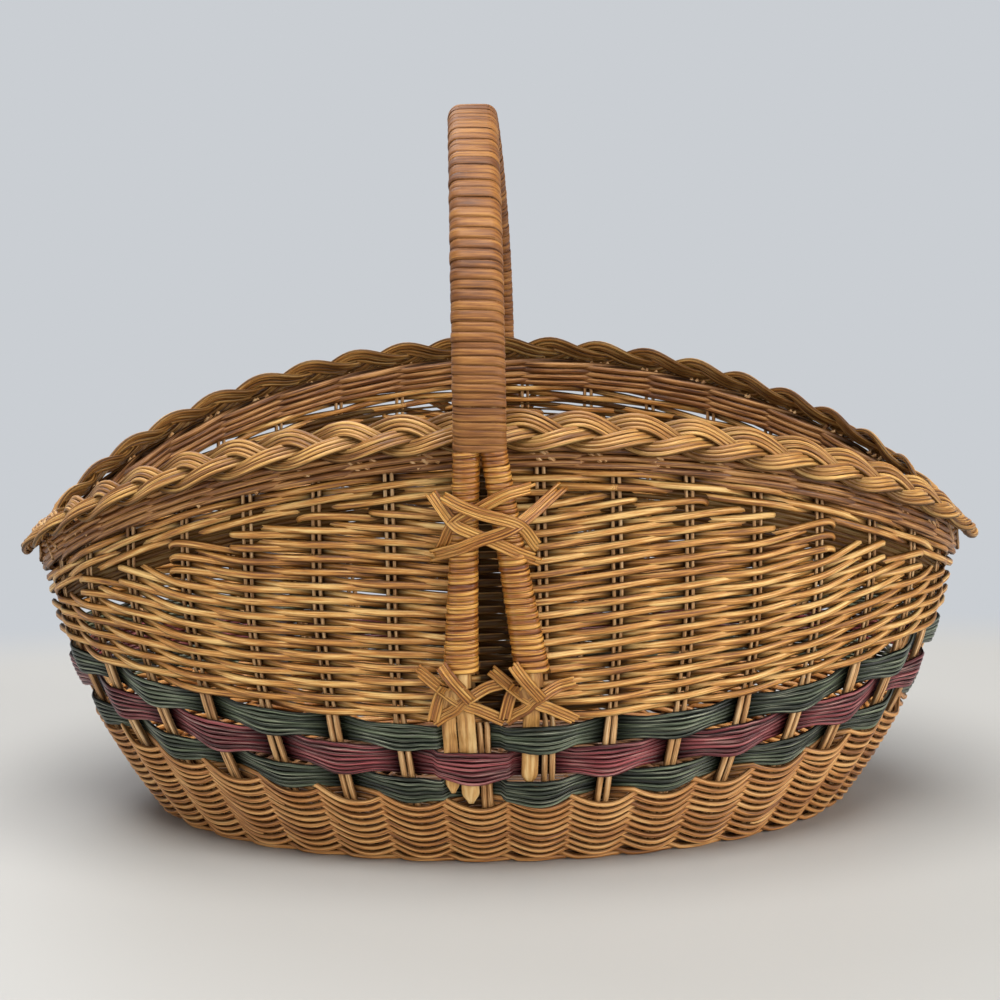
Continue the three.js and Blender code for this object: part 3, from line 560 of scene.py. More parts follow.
def packing(side, weaver):
    """Short rows on one side, there and back. Each pair turns back round a stake where the wall
    gets too low for it."""
    keys = []
    most = SHORT_ROWS.max()
    for k in range(most):
        whole = k in (0, most - 1)
        first = 0 if whole else int(np.argmax(SHORT_ROWS >= 2 + 2 * ((k + 1) // 2)))
        last = SIDE_STAKES - 1 - int(np.argmax(SHORT_ROWS[::-1] >= 2 + 2 * (k // 2)))
        forward = k % 2 == 0
        row = [row_key(side, i, LOW_ROUNDS + min(k, SHORT_ROWS[i] - 1),
                       swing_at(side, i, weaver if forward else -weaver))
               for i in range(first, last + 1)]
        end, past = (last, TURN_BACK) if forward else (first, -TURN_BACK)
        level = LOW_ROUNDS + min(k, SHORT_ROWS[end] - 1) + 0.5
        keys += (row if forward else row[::-1]) + [row_key(side, end, level, 0, past)]
    return keys


# Points from stake to stake, and the stakes that one length of reed passes
ROW_STEPS, REED_STAKES = 12, 45
ROW_CROWN = 0.94
HEIGHT_UNEVEN, SIZE_UNEVEN, SWING_UNEVEN = 0.11, 0.035, 0.05
FLOAT_RISE = 0.4
# Where a row turns back: how far behind the stake it goes, how much thinner it gets, and how much
# painted shade darkens it
TURN_DEPTH, TURN_THINNER, TURN_DARK = 1.8, 0.3, 0.7
# Distances from the middle between the legs where their shade is full and where it ends
SHADE_FULL, SHADE_END = 5, 13
# How strongly painted shade darkens a reed's face that shows from beyond the stakes, and the outer
# faces between the legs as the legs' shadow
FLOAT_SHADE, LEGS_SHADE = 1.2, 1.3


def add_row(reeds, keys):
    """One weaver's reed through its keys: heights by a cubic curve, swing by the crowned sine of
    the keys' swing, which runs nearly straight between stakes and rounds off on each. Every float
    rises a little, by a half sine from stake to stake. Where it turns back it is pressed thin
    behind the stake. Painted shade darkens it there, on its face that shows through the wall from
    beyond the stakes, and on its outer face between the legs as the legs' shadow."""
    keys = np.array(keys, float)
    number = np.arange(len(keys))
    fine = np.arange((len(keys) - 1) * ROW_STEPS + 1) / ROW_STEPS

    def uneven(amount):
        return rng.normal(0, amount, len(keys))

    s = cubic(number, np.unwrap(keys[:, 0], period=STAKE_PAIRS), fine)
    z = cubic(number, keys[:, 1] + uneven(HEIGHT_UNEVEN), fine)
    swing = np.interp(fine, number, keys[:, 2])
    turning = np.interp(fine, number, keys[:, 2] == 0)
    swing = crowned(np.sin(TURN / 4 * swing), ROW_CROWN)
    swing = swing + 0.2 * (1 - swing**2)
    size = 1 + cubic(number, uneven(SIZE_UNEVEN), fine)
    z = z + FLOAT_RISE * np.sin(np.pi * s) * np.interp(fine, number, keys[:, 3])
    swing = swing * WEAVE_SWING * (1 + cubic(number, uneven(SWING_UNEVEN), fine))
    swing = swing - TURN_DEPTH * turning
    size = size * (1 - TURN_THINNER * turning)
    paths, out = weave_paths(stake_place(s), z, swing)
    reach = swing / WEAVE_SWING
    back = ease(out[..., 1], 0.3, 0.7)
    size = size * (1 - 0.2 * back * reach**2 - 0.3 * (1 - back) * np.minimum(reach, 0))
    piece = (fine // REED_STAKES).astype(int)
    tint = rng.uniform(0, 1, piece.max() + 1)[piece]
    legs_x = np.where(paths[..., 1] < 0, leg_point(-1, 0, z)[:, 0], 0)
    shade = 1 - ease(np.abs(paths[..., 0] - legs_x), SHADE_FULL, SHADE_END)
    behind = -FLOAT_SHADE * reach * np.abs(reach) * (1 - shade) + LEGS_SHADE * shade
    reeds.add(paths, out, REED_HALF_HEIGHT * size, REED_HALF_DEPTH * size, sides=7,
              tucked=TURN_DARK * turning, behind=behind, tint=tint)


# Hidden reeds: how many, rows below the wale of the first and last, and place from the stakes
HIDDEN_REEDS, HIDDEN_FIRST, HIDDEN_LAST = 6, 3.1, 7.1
HIDDEN_SWING, HIDDEN_WIDER = -0.6, 1.45


def build_upper_weave():
    """Two weavers for the rounds above the ribbons, and two that pack each long side with short
    rows and then go round below the border. Hidden reeds, each a fixed way below the wale and
    thinner toward the middle of each side by a smooth step of |cosine|, close the wall where
    short rows turn back."""
    for side, weaver in ((0, -1), (1, 1)):
        low = rounds(side, LOW_ROUNDS, np.zeros(SIDE_STAKES, int), weaver)
        high = packing(side, weaver) + rounds(side, RIM_ROUNDS, LOW_ROUNDS + SHORT_ROWS, weaver)
        for name, keys, node in (("low_rounds_%d", low, 1), ("short_and_rim_rows_%d", high, 3)):
            reeds = Reeds()
            add_row(reeds, keys)
            reeds.piece(name % (side + 1), honey_reed, "stained_reed",
                        ["upper_weave_%d" % (side + node)])
    s, t = row_grid()
    angle = wall_angle(t)
    reeds = Reeds()
    below_rim = ROW_PITCH * np.linspace(HIDDEN_FIRST, HIDDEN_LAST, HIDDEN_REEDS)[:, None]
    paths, out = weave_paths(t, wale_bottom(angle) - below_rim, 0 * s + HIDDEN_SWING)
    thick = 0.4 + 0.6 * ease(np.abs(np.cos(angle)), 0.15, 0.4)
    # The hidden reeds are painted nearly black with shade: dark fill in the gaps of the wall
    reeds.add(paths, out, HIDDEN_WIDER * thick, thick, sides=6, closed=True, tucked=0.9)
    reeds.piece("packing_under_rim_rows", honey_reed, "stained_reed")


def separate_runs(shown):
    """Index lists of the stretches that are shown on a closed round of points."""
    order = np.roll(np.arange(len(shown)), -np.argmin(shown))
    runs = np.split(order, np.flatnonzero(np.diff(shown[order])) + 1)
    return [run for run in runs if shown[run[0]]]


LOWER_FULL_ROWS = 9
LOWER_BOTTOM_Z, LOWER_TOP_GAP = 5.4, 2.2
LOWER_RADIUS, LOWER_PITCH = 1.18, 2.8
# Short rows of the lower wall's ends: how many rows lie below each, and where it starts, as the
# cosine of the angle round the wall
LOWER_SHORT_ROWS = {2: 0.62, 5: 0.40, 7: 0.80, 9: 0.52, 11: 0.70}
FESTOON_SAG, FESTOON_CROSS = 4.3, 1.0
TWINED_CROWN, TWINED_SWING, TWINED_OUT = 0.9, 3.3, 0.5
# Foot wale: its twined pair, then (height, place from the stakes) of the reeds inside
FOOT_Z, FOOT_RADIUS, FOOT_SAG = 1.35, 1.3, 0.25
FOOT_INSIDE = np.array([(1.6, -3.4), (3.3, -0.4), (4.2, -3.4), (6.6, -3.4)])


def add_twined(reeds, z, radius, sag, weight):
    """A pair of reeds twined round the stakes by the crowned cosine wave, which is 1 in front of a
    stake and -1 behind it. Each hangs in front in an arc, z + sag (1 - wave)^2, and the two cross
    between stakes by a sine, one above the other. None goes below the table. Where weight falls
    to 0 the pair thins out and ends."""
    s, t = row_grid()
    whole = weight.min() > 0.9
    for side in (1, -1):
        wave = side * crowned(np.cos(np.pi * s), TWINED_CROWN)
        rise = (1 - np.clip(wave, 0, 1)) ** 2
        cross = FESTOON_CROSS * side * np.sin(np.pi * s)
        paths, out = weave_paths(t, z + sag * FESTOON_SAG * rise - cross,
                                 wave * TWINED_SWING + TWINED_OUT)
        size = radius * (1.08 - 0.08 * wave) * weight**0.5
        paths[..., 2] = np.maximum(paths[..., 2], size)
        tint = rng.uniform(0, 1)
        for run in [slice(None)] if whole else separate_runs(weight > 0.1):
            # Each reed's face that shows through the wall from beyond a stake is painted dark as
            # shade
            reeds.add(paths[run], out[run], size[run], size[run], sides=7, closed=whole,
                      behind=-wave[run], tint=tint)


def build_lower_weave():
    """Twined rows from the foot wale to the ribbons: a row's height is the pitch times the summed
    weights of the rows up to its own middle. Short rows fill the higher ends, and their weight
    falls to 0 toward the sides."""
    s, t = row_grid()
    angle = wall_angle(t)
    rows = LOWER_FULL_ROWS + len(LOWER_SHORT_ROWS)
    weight = np.ones((rows, len(s)))
    for k, start in LOWER_SHORT_ROWS.items():
        weight[k] = ease(np.abs(np.cos(angle)), start, start + 0.1)
    below = np.cumsum(weight, 0) - weight / 2 - 0.5
    high = band_middle(angle) - BAND_HALF - LOWER_TOP_GAP
    pitch = (high - LOWER_BOTTOM_Z) / (weight.sum(0) - 1)
    reeds = Reeds()
    for k in range(rows):
        z = LOWER_BOTTOM_Z + pitch * below[k] + drift(1, len(s), 0.14)[0]
        radius = LOWER_RADIUS * rng.uniform(0.95, 1.05) * (pitch / LOWER_PITCH) ** 0.5
        add_twined(reeds, z, radius, 0.4 + 0.22 * k / rows, weight[k])
    reeds.piece("lower_wall_rows", lower_reed, "stained_reed",
                ["lower_weave_1", "lower_weave_2"])
    reeds = Reeds()
    add_twined(reeds, FOOT_Z + 0 * s, FOOT_RADIUS, FOOT_SAG, 1 + 0 * s)
    height, place = FOOT_INSIDE.T[..., None] + 0 * s
    paths, out = weave_paths(t, height, place)
    # The reeds inside have their outer faces painted dark as shade
    reeds.add(paths, out, 1.5, 1.3, sides=7, closed=True, behind=1.0)
    reeds.piece("foot_wale_reeds", lower_reed, "stained_reed", ["foot_wale"])


TOP_WALE_COURSES, TOP_WALE_RADIUS, TOP_WALE_SWING = 4, 1.65, 3.2
TOP_WALE_BELOW, TOP_WALE_ABOVE = 1.0, 2.4


def build_top_wale():
    """Courses of three reeds, a stake apart: each passes over two stakes and under one, as a
    clipped cosine with a turn in three stakes, and climbs over the next by the sine."""
    s, t = row_grid()
    bottom = wale_bottom(wall_angle(t))
    low = bottom - TOP_WALE_BELOW
    height = (bottom + WALE_HEIGHT + TOP_WALE_ABOVE - low) / TOP_WALE_COURSES
    reeds = Reeds()
    for course in range(TOP_WALE_COURSES):
        for k in range(3):
            turn = TURN * (s - k) / 3
            swing = TOP_WALE_SWING * np.clip(0.35 + 1.1 * np.cos(turn), -1.05, 1.05)
            z = low + height * (course + 0.5) + 0.22 * height * np.sin(turn)
            paths, out = weave_paths(t, z + drift(1, len(s), 0.12)[0], swing)
            # Painted shade: on each reed's face that shows from beyond a stake, and more on each
            # course up toward the border's overhang
            reeds.add(paths, out, TOP_WALE_RADIUS, TOP_WALE_RADIUS, sides=7, closed=True,
                      behind=-swing / TOP_WALE_SWING, tucked=0.1 + 0.6 * course / TOP_WALE_COURSES)
    reeds.piece("top_wale_reeds", wale_reed, "stained_reed", ["top_wale"])


RIBBON_CROWN, RIBBON_SWING = 0.93, 3.35
SLAT_BULGE, SLAT_SHIFT = 2.6, 0.12


def slat_bulge(s, wave):
    """Extra room that a ribbon makes for the handle's flat ends where it passes over them: a smooth
    step down with the distance from each of their stakes."""
    total = np.zeros_like(s)
    half = STAKE_PAIRS / 2
    for stake in (STAKE_PAIRS - 1, 0, SIDE_STAKES - 1, SIDE_STAKES):
        away = np.abs((s - stake + SLAT_SHIFT + half) % STAKE_PAIRS - half)
        total += SLAT_BULGE * (1 - ease(away, 0.32, 0.68)) * (wave > -0.1)
    return total


def build_ribbon(word, material, slot, middle_drop, phase, count, pitch):
    """Reeds side by side that weave as one, their middle at a drop below the band's top, in front
    of the even stakes if phase is 1. They swing by the crowned cosine wave. Their pitch spreads
    by |wave|^1.5 where the ribbon passes a stake and closes up where it crosses the wall."""
    s, t = row_grid(1 if phase > 0 else 0)
    wave = phase * crowned(np.cos(np.pi * s), RIBBON_CROWN)
    spread = 0.82 + 0.22 * np.clip(np.abs(wave) * 1.2, 0, 1) ** 1.5
    place = (np.arange(count) - (count - 1) / 2)[:, None]
    z = (band_top(wall_angle(t)) - middle_drop + place * pitch * spread
         + drift(count, len(s), 0.03))
    stagger = np.where(np.arange(count) % 2, 1, -1)[:, None]
    bunch = (1 - np.abs(wave)) * 0.12 * stagger + drift(count, len(s), 0.05)
    crown = 0.5 * (1 - (2 * place / count) ** 2) * np.clip(wave, 0, 1)
    paths, out = weave_paths(t, z, wave * RIBBON_SWING + bunch + crown + slat_bulge(s, wave))
    radius = pitch * 0.52 * rng.uniform(0.97, 1.03, (count, 1))
    reeds = Reeds()
    # Where a ribbon passes behind a stake, its face that shows is painted dark as shade
    reeds.add(paths, out, radius, radius * 0.95, closed=True, behind=-wave)
    reeds.piece(word + "_reeds", material, slot, [word + "_ribbon"])


# Border
STRAND_RODS, ROD_HALF, ROD_PITCH = 4, 1.18, 2.12
PLAIT_DROP = 1.2
PLAIT_POINTS, PLAIT_STEP = PLAIT_PERIODS * 30, 1e-4
CUT_END_RADIUS = 1.05
CUT_END_ACROSS, CUT_END_THROUGH = 2.0, -5.0


def plait_point(t, across, through):
    """Point of the border: across leans outward and down from the rim line, through is square to
    it, and t is the share of the way round."""
    t, across, through = np.broadcast_arrays(t, across, through)
    angle = rim_angle(t)
    middle = np.stack([RIM_A * np.cos(angle), RIM_B * np.sin(angle), rim_height(angle)], -1)
    out = unit(np.stack([np.cos(angle) / RIM_A, np.sin(angle) / RIM_B, 0 * angle], -1))
    c, s = math.cos(PLAIT_TILT), math.sin(PLAIT_TILT)
    flat = (across * c + through * s)[..., None] * out
    return middle + flat + (through * c - across * s - PLAIT_DROP)[..., None] * UPWARD


def build_border():
    """Three strands of four rods, plaited: a strand sways from edge to edge as the sine of its
    phase and lifts as minus the sine of twice the phase, so it lies over its neighbours on its
    way in from each edge, and under them on its way out."""
    t = np.linspace(0, 1, PLAIT_POINTS, endpoint=False)
    for strand in range(3):
        def strand_point(phase, ahead=0.0, raised=0.0):
            phase = phase + TURN * PLAIT_PERIODS * ahead
            return plait_point(t + ahead, PLAIT_SWAY * np.sin(phase),
                               raised - PLAIT_LIFT * np.sin(2 * phase))

        phase = TURN * (PLAIT_PERIODS * t + PLAIT_START + strand / 3)
        centre = strand_point(phase)
        run = unit(strand_point(phase, ahead=PLAIT_STEP) - centre)
        through = unit(strand_point(phase, raised=1) - centre)
        side = unit(np.cross(through, run))
        # Painted shade, more where a strand dips under its neighbours
        tucked = np.clip(0.25 + PLAIT_LIFT * np.sin(2 * phase) / 6, 0, 1)
        reeds = Reeds()
        for k in range(STRAND_RODS):
            place = (k - (STRAND_RODS - 1) / 2) * ROD_PITCH
            crown = 0.4 * (1 - (2 * place / (STRAND_RODS * ROD_PITCH)) ** 2)
            hump = 1.6 * k / STRAND_RODS * np.clip(-np.sin(phase), 0, 1) ** 3
            path = centre + side * place + through * (crown + hump[:, None])
            wander = drift(2, len(t), 0.3)
            path = path + side * wander[0][:, None] + through * wander[1][:, None]
            reeds.add(path, through, ROD_HALF, ROD_HALF * 0.95, closed=True, tucked=tucked)
        reeds.piece("border_strand_%d_rods" % (strand + 1), border_reed, "border_reed",
                    ["border_strand_%d" % (strand + 1)])


def build_cut_ends():
    """Cut rod ends below the border, two or three at each turn of the plait: straight rods that
    slant down and forward from under its outer edge."""
    reeds = Reeds()
    humps = 3 * PLAIT_PERIODS
    for hump in range(humps):
        for k in range(rng.integers(2, 4)):
            t = (hump + 0.3 + 0.13 * k + rng.uniform(-0.05, 0.05)) / humps
            start, ahead = plait_point(np.array([t, t + 0.01]), CUT_END_ACROSS, CUT_END_THROUGH)
            along = unit(ahead - start)
            down = unit(along * rng.uniform(0.6, 1.0) - UPWARD * rng.uniform(0.45, 0.8))
            out = unit(np.cross(along, UPWARD))
            steps = np.linspace(-4, rng.uniform(9, 14), 5)[:, None]
            path = start + down * steps + out * (0.5 + 0.06 * steps)
            reeds.add(path, out, CUT_END_RADIUS, CUT_END_RADIUS, sides=7, tucked=0.1)
    reeds.piece("border_cut_ends", pale_reed, "stake_reed")


# Handle
BOW_RISE = HANDLE_TOP_Z - WRAP_REACH - SPLIT_Z
BOW_SAMPLES = 2000


def bow_point(part):
    """Middle line of the arch: a slightly squared half circle, the cosine and sine to the power
    BOW_FULLNESS as depth and height, from the front split (0) to the back split (1), with a
    sideways lean at the front."""
    angle = np.pi * part
    c, s = np.cos(angle), np.maximum(np.sin(angle), 0)
    lean = FRONT_LEAN + (BACK_LEAN - FRONT_LEAN) * ease(part, LEAN_START, 1)
    return np.stack([lean, -BOW_HALF_DEPTH * np.sign(c) * np.abs(c) ** BOW_FULLNESS,
                     SPLIT_Z + BOW_RISE * s**BOW_FULLNESS], -1)


bow_parts = np.linspace(0, 1, BOW_SAMPLES)
bow_steps = np.linalg.norm(np.diff(bow_point(bow_parts), axis=0), axis=1)
bow_lengths = np.concatenate([[0], np.cumsum(bow_steps)])


def bow_place(length):
    """Point and outward direction of the arch at a length along it from the front split."""
    part = np.interp(length, bow_lengths, bow_parts)
    run = bow_point(np.minimum(part + 1e-3, 1)) - bow_point(np.maximum(part - 1e-3, 0))
    out = unit(np.stack([0 * part, -run[..., 2], run[..., 1]], -1))
    return bow_point(part), out


STAKE_X = wall_point(stake_place(0), band_top(-np.pi / 2))[0]


def leg_part(z):
    """Share of the way down a leg, 0 at the split and 1 where its wrap ends."""
    return share(SPLIT_Z - z, SPLIT_Z - LEG_WRAP_END_Z)


def leg_point(face, rod_side, z):
    """Middle line of a leg: straight from its rod's place at the split to its stake pair."""
    lean = FRONT_LEAN if face < 0 else BACK_LEAN
    start = lean + rod_side * ROD_SPACING / 2
    end = rod_side * STAKE_X + (FRONT_FOOT_SHIFT if face < 0 else 0)
    part = leg_part(z)
    return np.stack([start + (end - start) * part,
                     face * (BOW_HALF_DEPTH + (LEG_HALF_DEPTH - BOW_HALF_DEPTH) * part),
                     z + 0 * part], -1)


WRAP_LIFT, WRAP_HALF_THICK = 0.85, 0.32
# Turns of a wrap and points in each turn
BOW_TURNS, BOW_TURN_POINTS = 94, 28
LEG_TURNS, LEG_TURN_POINTS = 42, 18


def build_wrap(node, material, frames, length, turns, points, swell=0.0):
    """A flat reed wound in close turns of uneven width, wider by swell halfway along. frames gives
    the handle's middle, outward direction and half the spacing of its rods at a length. The reed
    goes outward by radius times the sine and sideways by radius times the cosine, plus half the
    spacing times tanh(6 cosine): half circles joined by straight runs."""
    number = np.arange(turns + 1)
    uneven = rng.uniform(0.78, 1.22, turns + 1) * (1 + swell * np.sin(np.pi * number / turns) ** 2)
    marks = np.concatenate([[0], np.cumsum(uneven[:-1])])
    marks = marks / marks[-1] * length
    tints = rng.uniform(0, 1, turns + 2)
    turn = np.linspace(0, turns, turns * points + 1)
    c, s = np.cos(TURN * turn), np.sin(TURN * turn)
    centre, out, half_spacing = frames(np.interp(turn, number, marks))
    radius = ROD_RADIUS + WRAP_LIFT
    x = radius * c + np.tanh(c * 6) * half_spacing
    hint = SIDEWAYS * c[:, None] + out * s[:, None]
    lift = 0.12 * np.sin(TURN * turn * 0.5) + 0.08 * np.sin(turn * 2.3)
    path = centre + SIDEWAYS * x[:, None] + out * (radius * s)[:, None] + hint * lift[:, None]
    width = np.interp(turn, number[:-1] + 0.5, np.diff(marks))
    reeds = Reeds()
    reeds.add(path, hint, width * 0.52, WRAP_HALF_THICK, square=0.6,
              tint=tints[(turn + 0.25).astype(int)])
    reeds.piece(node + "_reed", material, "wrapping_reed", [node])


def build_bow_wrap():
    """The wrap round both rods, from split to split over the arch."""
    def frames(length):
        return *bow_place(length), ROD_SPACING / 2

    build_wrap("bow_wrap", wrap_reed, frames, bow_lengths[-1], BOW_TURNS, BOW_TURN_POINTS, 1.4)


def build_leg_wrap(place, face, rod_side):
    """The wrap round one leg, which widens downward by the square of the way."""
    def frames(length):
        z = LEG_WRAP_START_Z - length
        return leg_point(face, rod_side, z), np.array([0, face, 0.0]), LEG_SPREAD * leg_part(z)**2

    build_wrap(place + "_leg_wrap", leg_wrap_reed, frames, LEG_WRAP_START_Z - LEG_WRAP_END_Z,
               LEG_TURNS, LEG_TURN_POINTS)


# Flat ends by face and rod side: the stake pair that they lie on, then (place from it, half
# width, lowest height) of each
FLAT_ENDS = {
    (-1, -1): (STAKE_PAIRS - 1, (-9.0, 3.1, 37.0), (-1.6, 3.9, 32.0)),
    (-1, 1): (0, (-4.9, 3.6, 41.0)),
    (1, -1): (SIDE_STAKES, (-3.6, 2.9, 41.0), (3.2, 3.6, 49.0)),
    (1, 1): (SIDE_STAKES - 1, (-3.6, 2.9, 33.0), (3.2, 3.6, 41.0)),
}
# Their place out from the stakes under the ribbons and over the weave
SLAT_IN, SLAT_OUT, SLAT_RISE = 2.8, 5.9, 7
SLAT_HALF, SLAT_HALF_THICK, SLAT_THICKER = 3.2, 0.8, 1.6
SLAT_POINT = np.array([0.3, 0.55, 0.85])
# Heights between which a flat end leaves the wall for its rod, and gets thicker
SLAT_LEAVES, SLAT_THICKENS = (70, 88), (76, 92)


def slat_place(face, rod_side, z, shift):
    """Where a rod's flat end lies: on its stake pair under the ribbons, then out over the weave by
    a smooth step of the height."""
    t = stake_place(FLAT_ENDS[(face, rod_side)][0])
    top = band_top(wall_angle(t)) + (SLAT_RISE if face * rod_side < 0 else 0)
    offset = SLAT_IN + (SLAT_OUT - SLAT_IN) * ease(z, top - SLAT_RISE, top)
    along, out = wall_frame(t + 0 * z, z)
    return wall_point(t + 0 * z, z) + out * offset[..., None] + along * -face * shift, out


def build_handle_rods():
    """Two rods, hidden under the wraps, whose lower ends are shaved flat and split in two. A flat
    end goes from its place on the wall to its leg's middle line by a smooth step."""
    leg_z = np.linspace(LEG_WRAP_END_Z - 6, SPLIT_Z - 2, 24)
    for rod_side, word in ((-1, "left"), (1, "right")):
        reeds = Reeds()
        middle, out = bow_place(np.linspace(0, bow_lengths[-1], 120))
        path = np.concatenate([leg_point(-1, rod_side, leg_z),
                               middle + SIDEWAYS * (rod_side * ROD_SPACING / 2),
                               leg_point(1, rod_side, leg_z[::-1])])
        forward = np.tile([0, 1.0, 0], (24, 1))
        hint = np.concatenate([-forward, out, forward])
        reeds.add(path, hint, ROD_RADIUS, ROD_RADIUS, sides=16)
        for face in (-1, 1):
            for shift, half, end in FLAT_ENDS[(face, rod_side)][1:]:
                z = np.linspace(end, LEG_WRAP_END_Z + 2, 40)
                place, outward = slat_place(face, rod_side, z, shift)
                leg = leg_point(face, rod_side, z)
                leg = leg - SIDEWAYS * (face * np.clip(shift, -SLAT_HALF, SLAT_HALF))
                rise = ease(z, *SLAT_LEAVES)[:, None]
                path = place * (1 - rise) + leg * rise
                hint = unit(outward * (1 - rise) + np.array([0, face, 0]) * rise)
                width = half + (SLAT_HALF - half) * rise[:, 0]
                width[:3] *= SLAT_POINT
                thick = SLAT_HALF_THICK + SLAT_THICKER * ease(z, *SLAT_THICKENS)
                reeds.add(path, hint, width, thick, sides=12, square=0.8, tucked=0.05)
        reeds.piece("handle_rod_%s_wood" % word, bare_rod, "handle_rod",
                    ["handle_rod_" + word])


LASH_STRANDS = 4
LASH_STRAND_WIDTH, LASH_HALF_THICK = 1.3, 0.38
LASH_LIFT, FOOT_LASH_LIFT = 0.75, 0.6


def lay_band(reeds, face, points, height, lift):
    """A flat band of reeds over the handle's legs: a smooth curve through (x, z) points, laid on
    the surface that height gives at each and lifted over the bands below it, then split into
    parallel reeds across its width."""
    points = np.array(points, float)
    knots = np.linspace(0, 1, len(points))
    fine = np.linspace(-0.06, 1.06, 56)
    x, z = cubic(knots, points[:, 0], fine), cubic(knots, points[:, 1], fine)
    y = height(x, z) + lift
    for _ in range(3):
        y[1:-1] = (y[:-2] + 2 * y[1:-1] + y[2:]) / 4
    path = np.stack([x, face * y, z], -1)
    toward = np.array([0, face, 0.0])
    side = unit(np.cross(unit(np.gradient(path, axis=0)), toward))
    hint = unit(np.cross(side, np.gradient(path, axis=0)))
    hint = hint * np.sign((hint * toward).sum(-1, keepdims=True))
    for k in range(LASH_STRANDS):
        place = (k - (LASH_STRANDS - 1) / 2) * LASH_STRAND_WIDTH
        short = slice(rng.integers(0, 4), len(fine) - rng.integers(0, 4))
        reeds.add((path + side * place)[short], hint[short], LASH_STRAND_WIDTH * 0.56,
                  LASH_HALF_THICK, square=0.5, tucked=0.08)


def build_lashing(name, face, bands, middle, height, lift, nodes=()):
    """Flat bands crossed over the legs, x counted from the middle, each lifted over the last."""
    reeds = Reeds()
    for k, band in enumerate(bands):
        lay_band(reeds, face, [(middle - face * x, z) for x, z in band], height, lift * k)
    reeds.piece(name, tie_reed, "wrapping_reed", nodes)


def round_over(past, radius):
    """Height of a round side above its own middle at a distance past where it starts to turn: the
    root of radius squared less distance squared, then a straight slope of 45 degrees."""
    bend = np.minimum(past / radius, math.sqrt(0.5))
    return radius * np.sqrt(1 - bend**2) - np.maximum(past - radius * math.sqrt(0.5), 0)


STAR_Z = 156
# Bands of the front star, from where they start to where they end, as (x, z)
STAR_BANDS = (
    ((11, 171), (1, 169.5), (-11.7, 162.9), (-20.9, 157.2), (-25.5, 147.5)),
    ((-29.5, 168), (-21.7, 158), (-14.7, 154.1), (-2, 148.5), (12, 141)),
    ((23, 168), (10, 159), (-0.2, 153.9), (-11.9, 150), (-28, 143.5)),
    ((-23.5, 167.5), (-10, 162), (5.7, 156.7), (13.5, 146.5)),
)


def build_star(place, face):
    """Four flat bands laid as a star across the two legs, with their cut ends sticking out."""
    centre, front = leg_point(face, 0, STAR_Z), leg_point(-1, 0, STAR_Z)
    half = (leg_point(face, 1, STAR_Z) - leg_point(face, -1, STAR_Z))[0] / 2

    def height(x, _):
        past = np.maximum(np.abs(x - centre[0]) - half, 0)
        return abs(centre[1]) + round_over(past, WRAP_REACH + 0.4)

    bands = [[(x - front[0], z) for x, z in band] for band in STAR_BANDS]
    build_lashing(place + "_star_bands", face, bands, centre[0], height, LASH_LIFT,
                  [place + "_star_lashing"])


# Bands of a foot lashing as (x from the leg's middle, z)
FOOT_BANDS = (
    ((-17, 91.5), (-6, 83), (2, 77.5), (16.5, 70.5)),
    ((17, 86), (9, 83.8), (1, 79.5), (-3, 75.5), (-10.5, 70.5)),
    ((-6.5, 86.5), (-9.5, 80), (-12, 71)),
    ((-8, 96), (-3.2, 89.5), (3.5, 80.5)),
)
# A leg's foot: its height, the heights between which its wrap begins, its flat end's distance
# from the basket's middle, radius and half width, and the weave's face out from the wall's middle
LEG_FOOT_Z, WRAP_BEGINS = 84.0, (76, 94)
FLAT_DEPTH, FLAT_RADIUS, FLAT_HALF, WEAVE_FACE = 153.5, 2.2, 2.6, 5.6


def build_foot_lashing(place, face, rod_side):
    """Flat bands crossed over a leg's foot, which tie it to the weave just above the ribbons."""
    foot = leg_point(face, rod_side, LEG_FOOT_Z)[0]

    def height(x, z):
        wrapped = ease(z, *WRAP_BEGINS)
        middle = FLAT_DEPTH + (LEG_HALF_DEPTH - FLAT_DEPTH) * wrapped
        radius = FLAT_RADIUS + (WRAP_REACH + 0.3 - FLAT_RADIUS) * wrapped
        over = middle + round_over(np.maximum(np.abs(x - foot) - FLAT_HALF, 0), radius)
        return np.maximum(over, half_depth(z) + WEAVE_FACE)

    build_lashing(place + "_foot_lashing", face, FOOT_BANDS, foot, height, FOOT_LASH_LIFT)


# Base: its gap to the wall, its middle height, its oval rows and the half depth they leave free
BASE_GAP, BASE_Z = 1.8, 3.2
BASE_ROWS, BASE_HEART = 27, 14
# Its sticks: how many, half width and half thickness
CROSS_STICKS, LONG_STICKS = (19, 2.0, 1.3), (4, 2.4, 1.5)


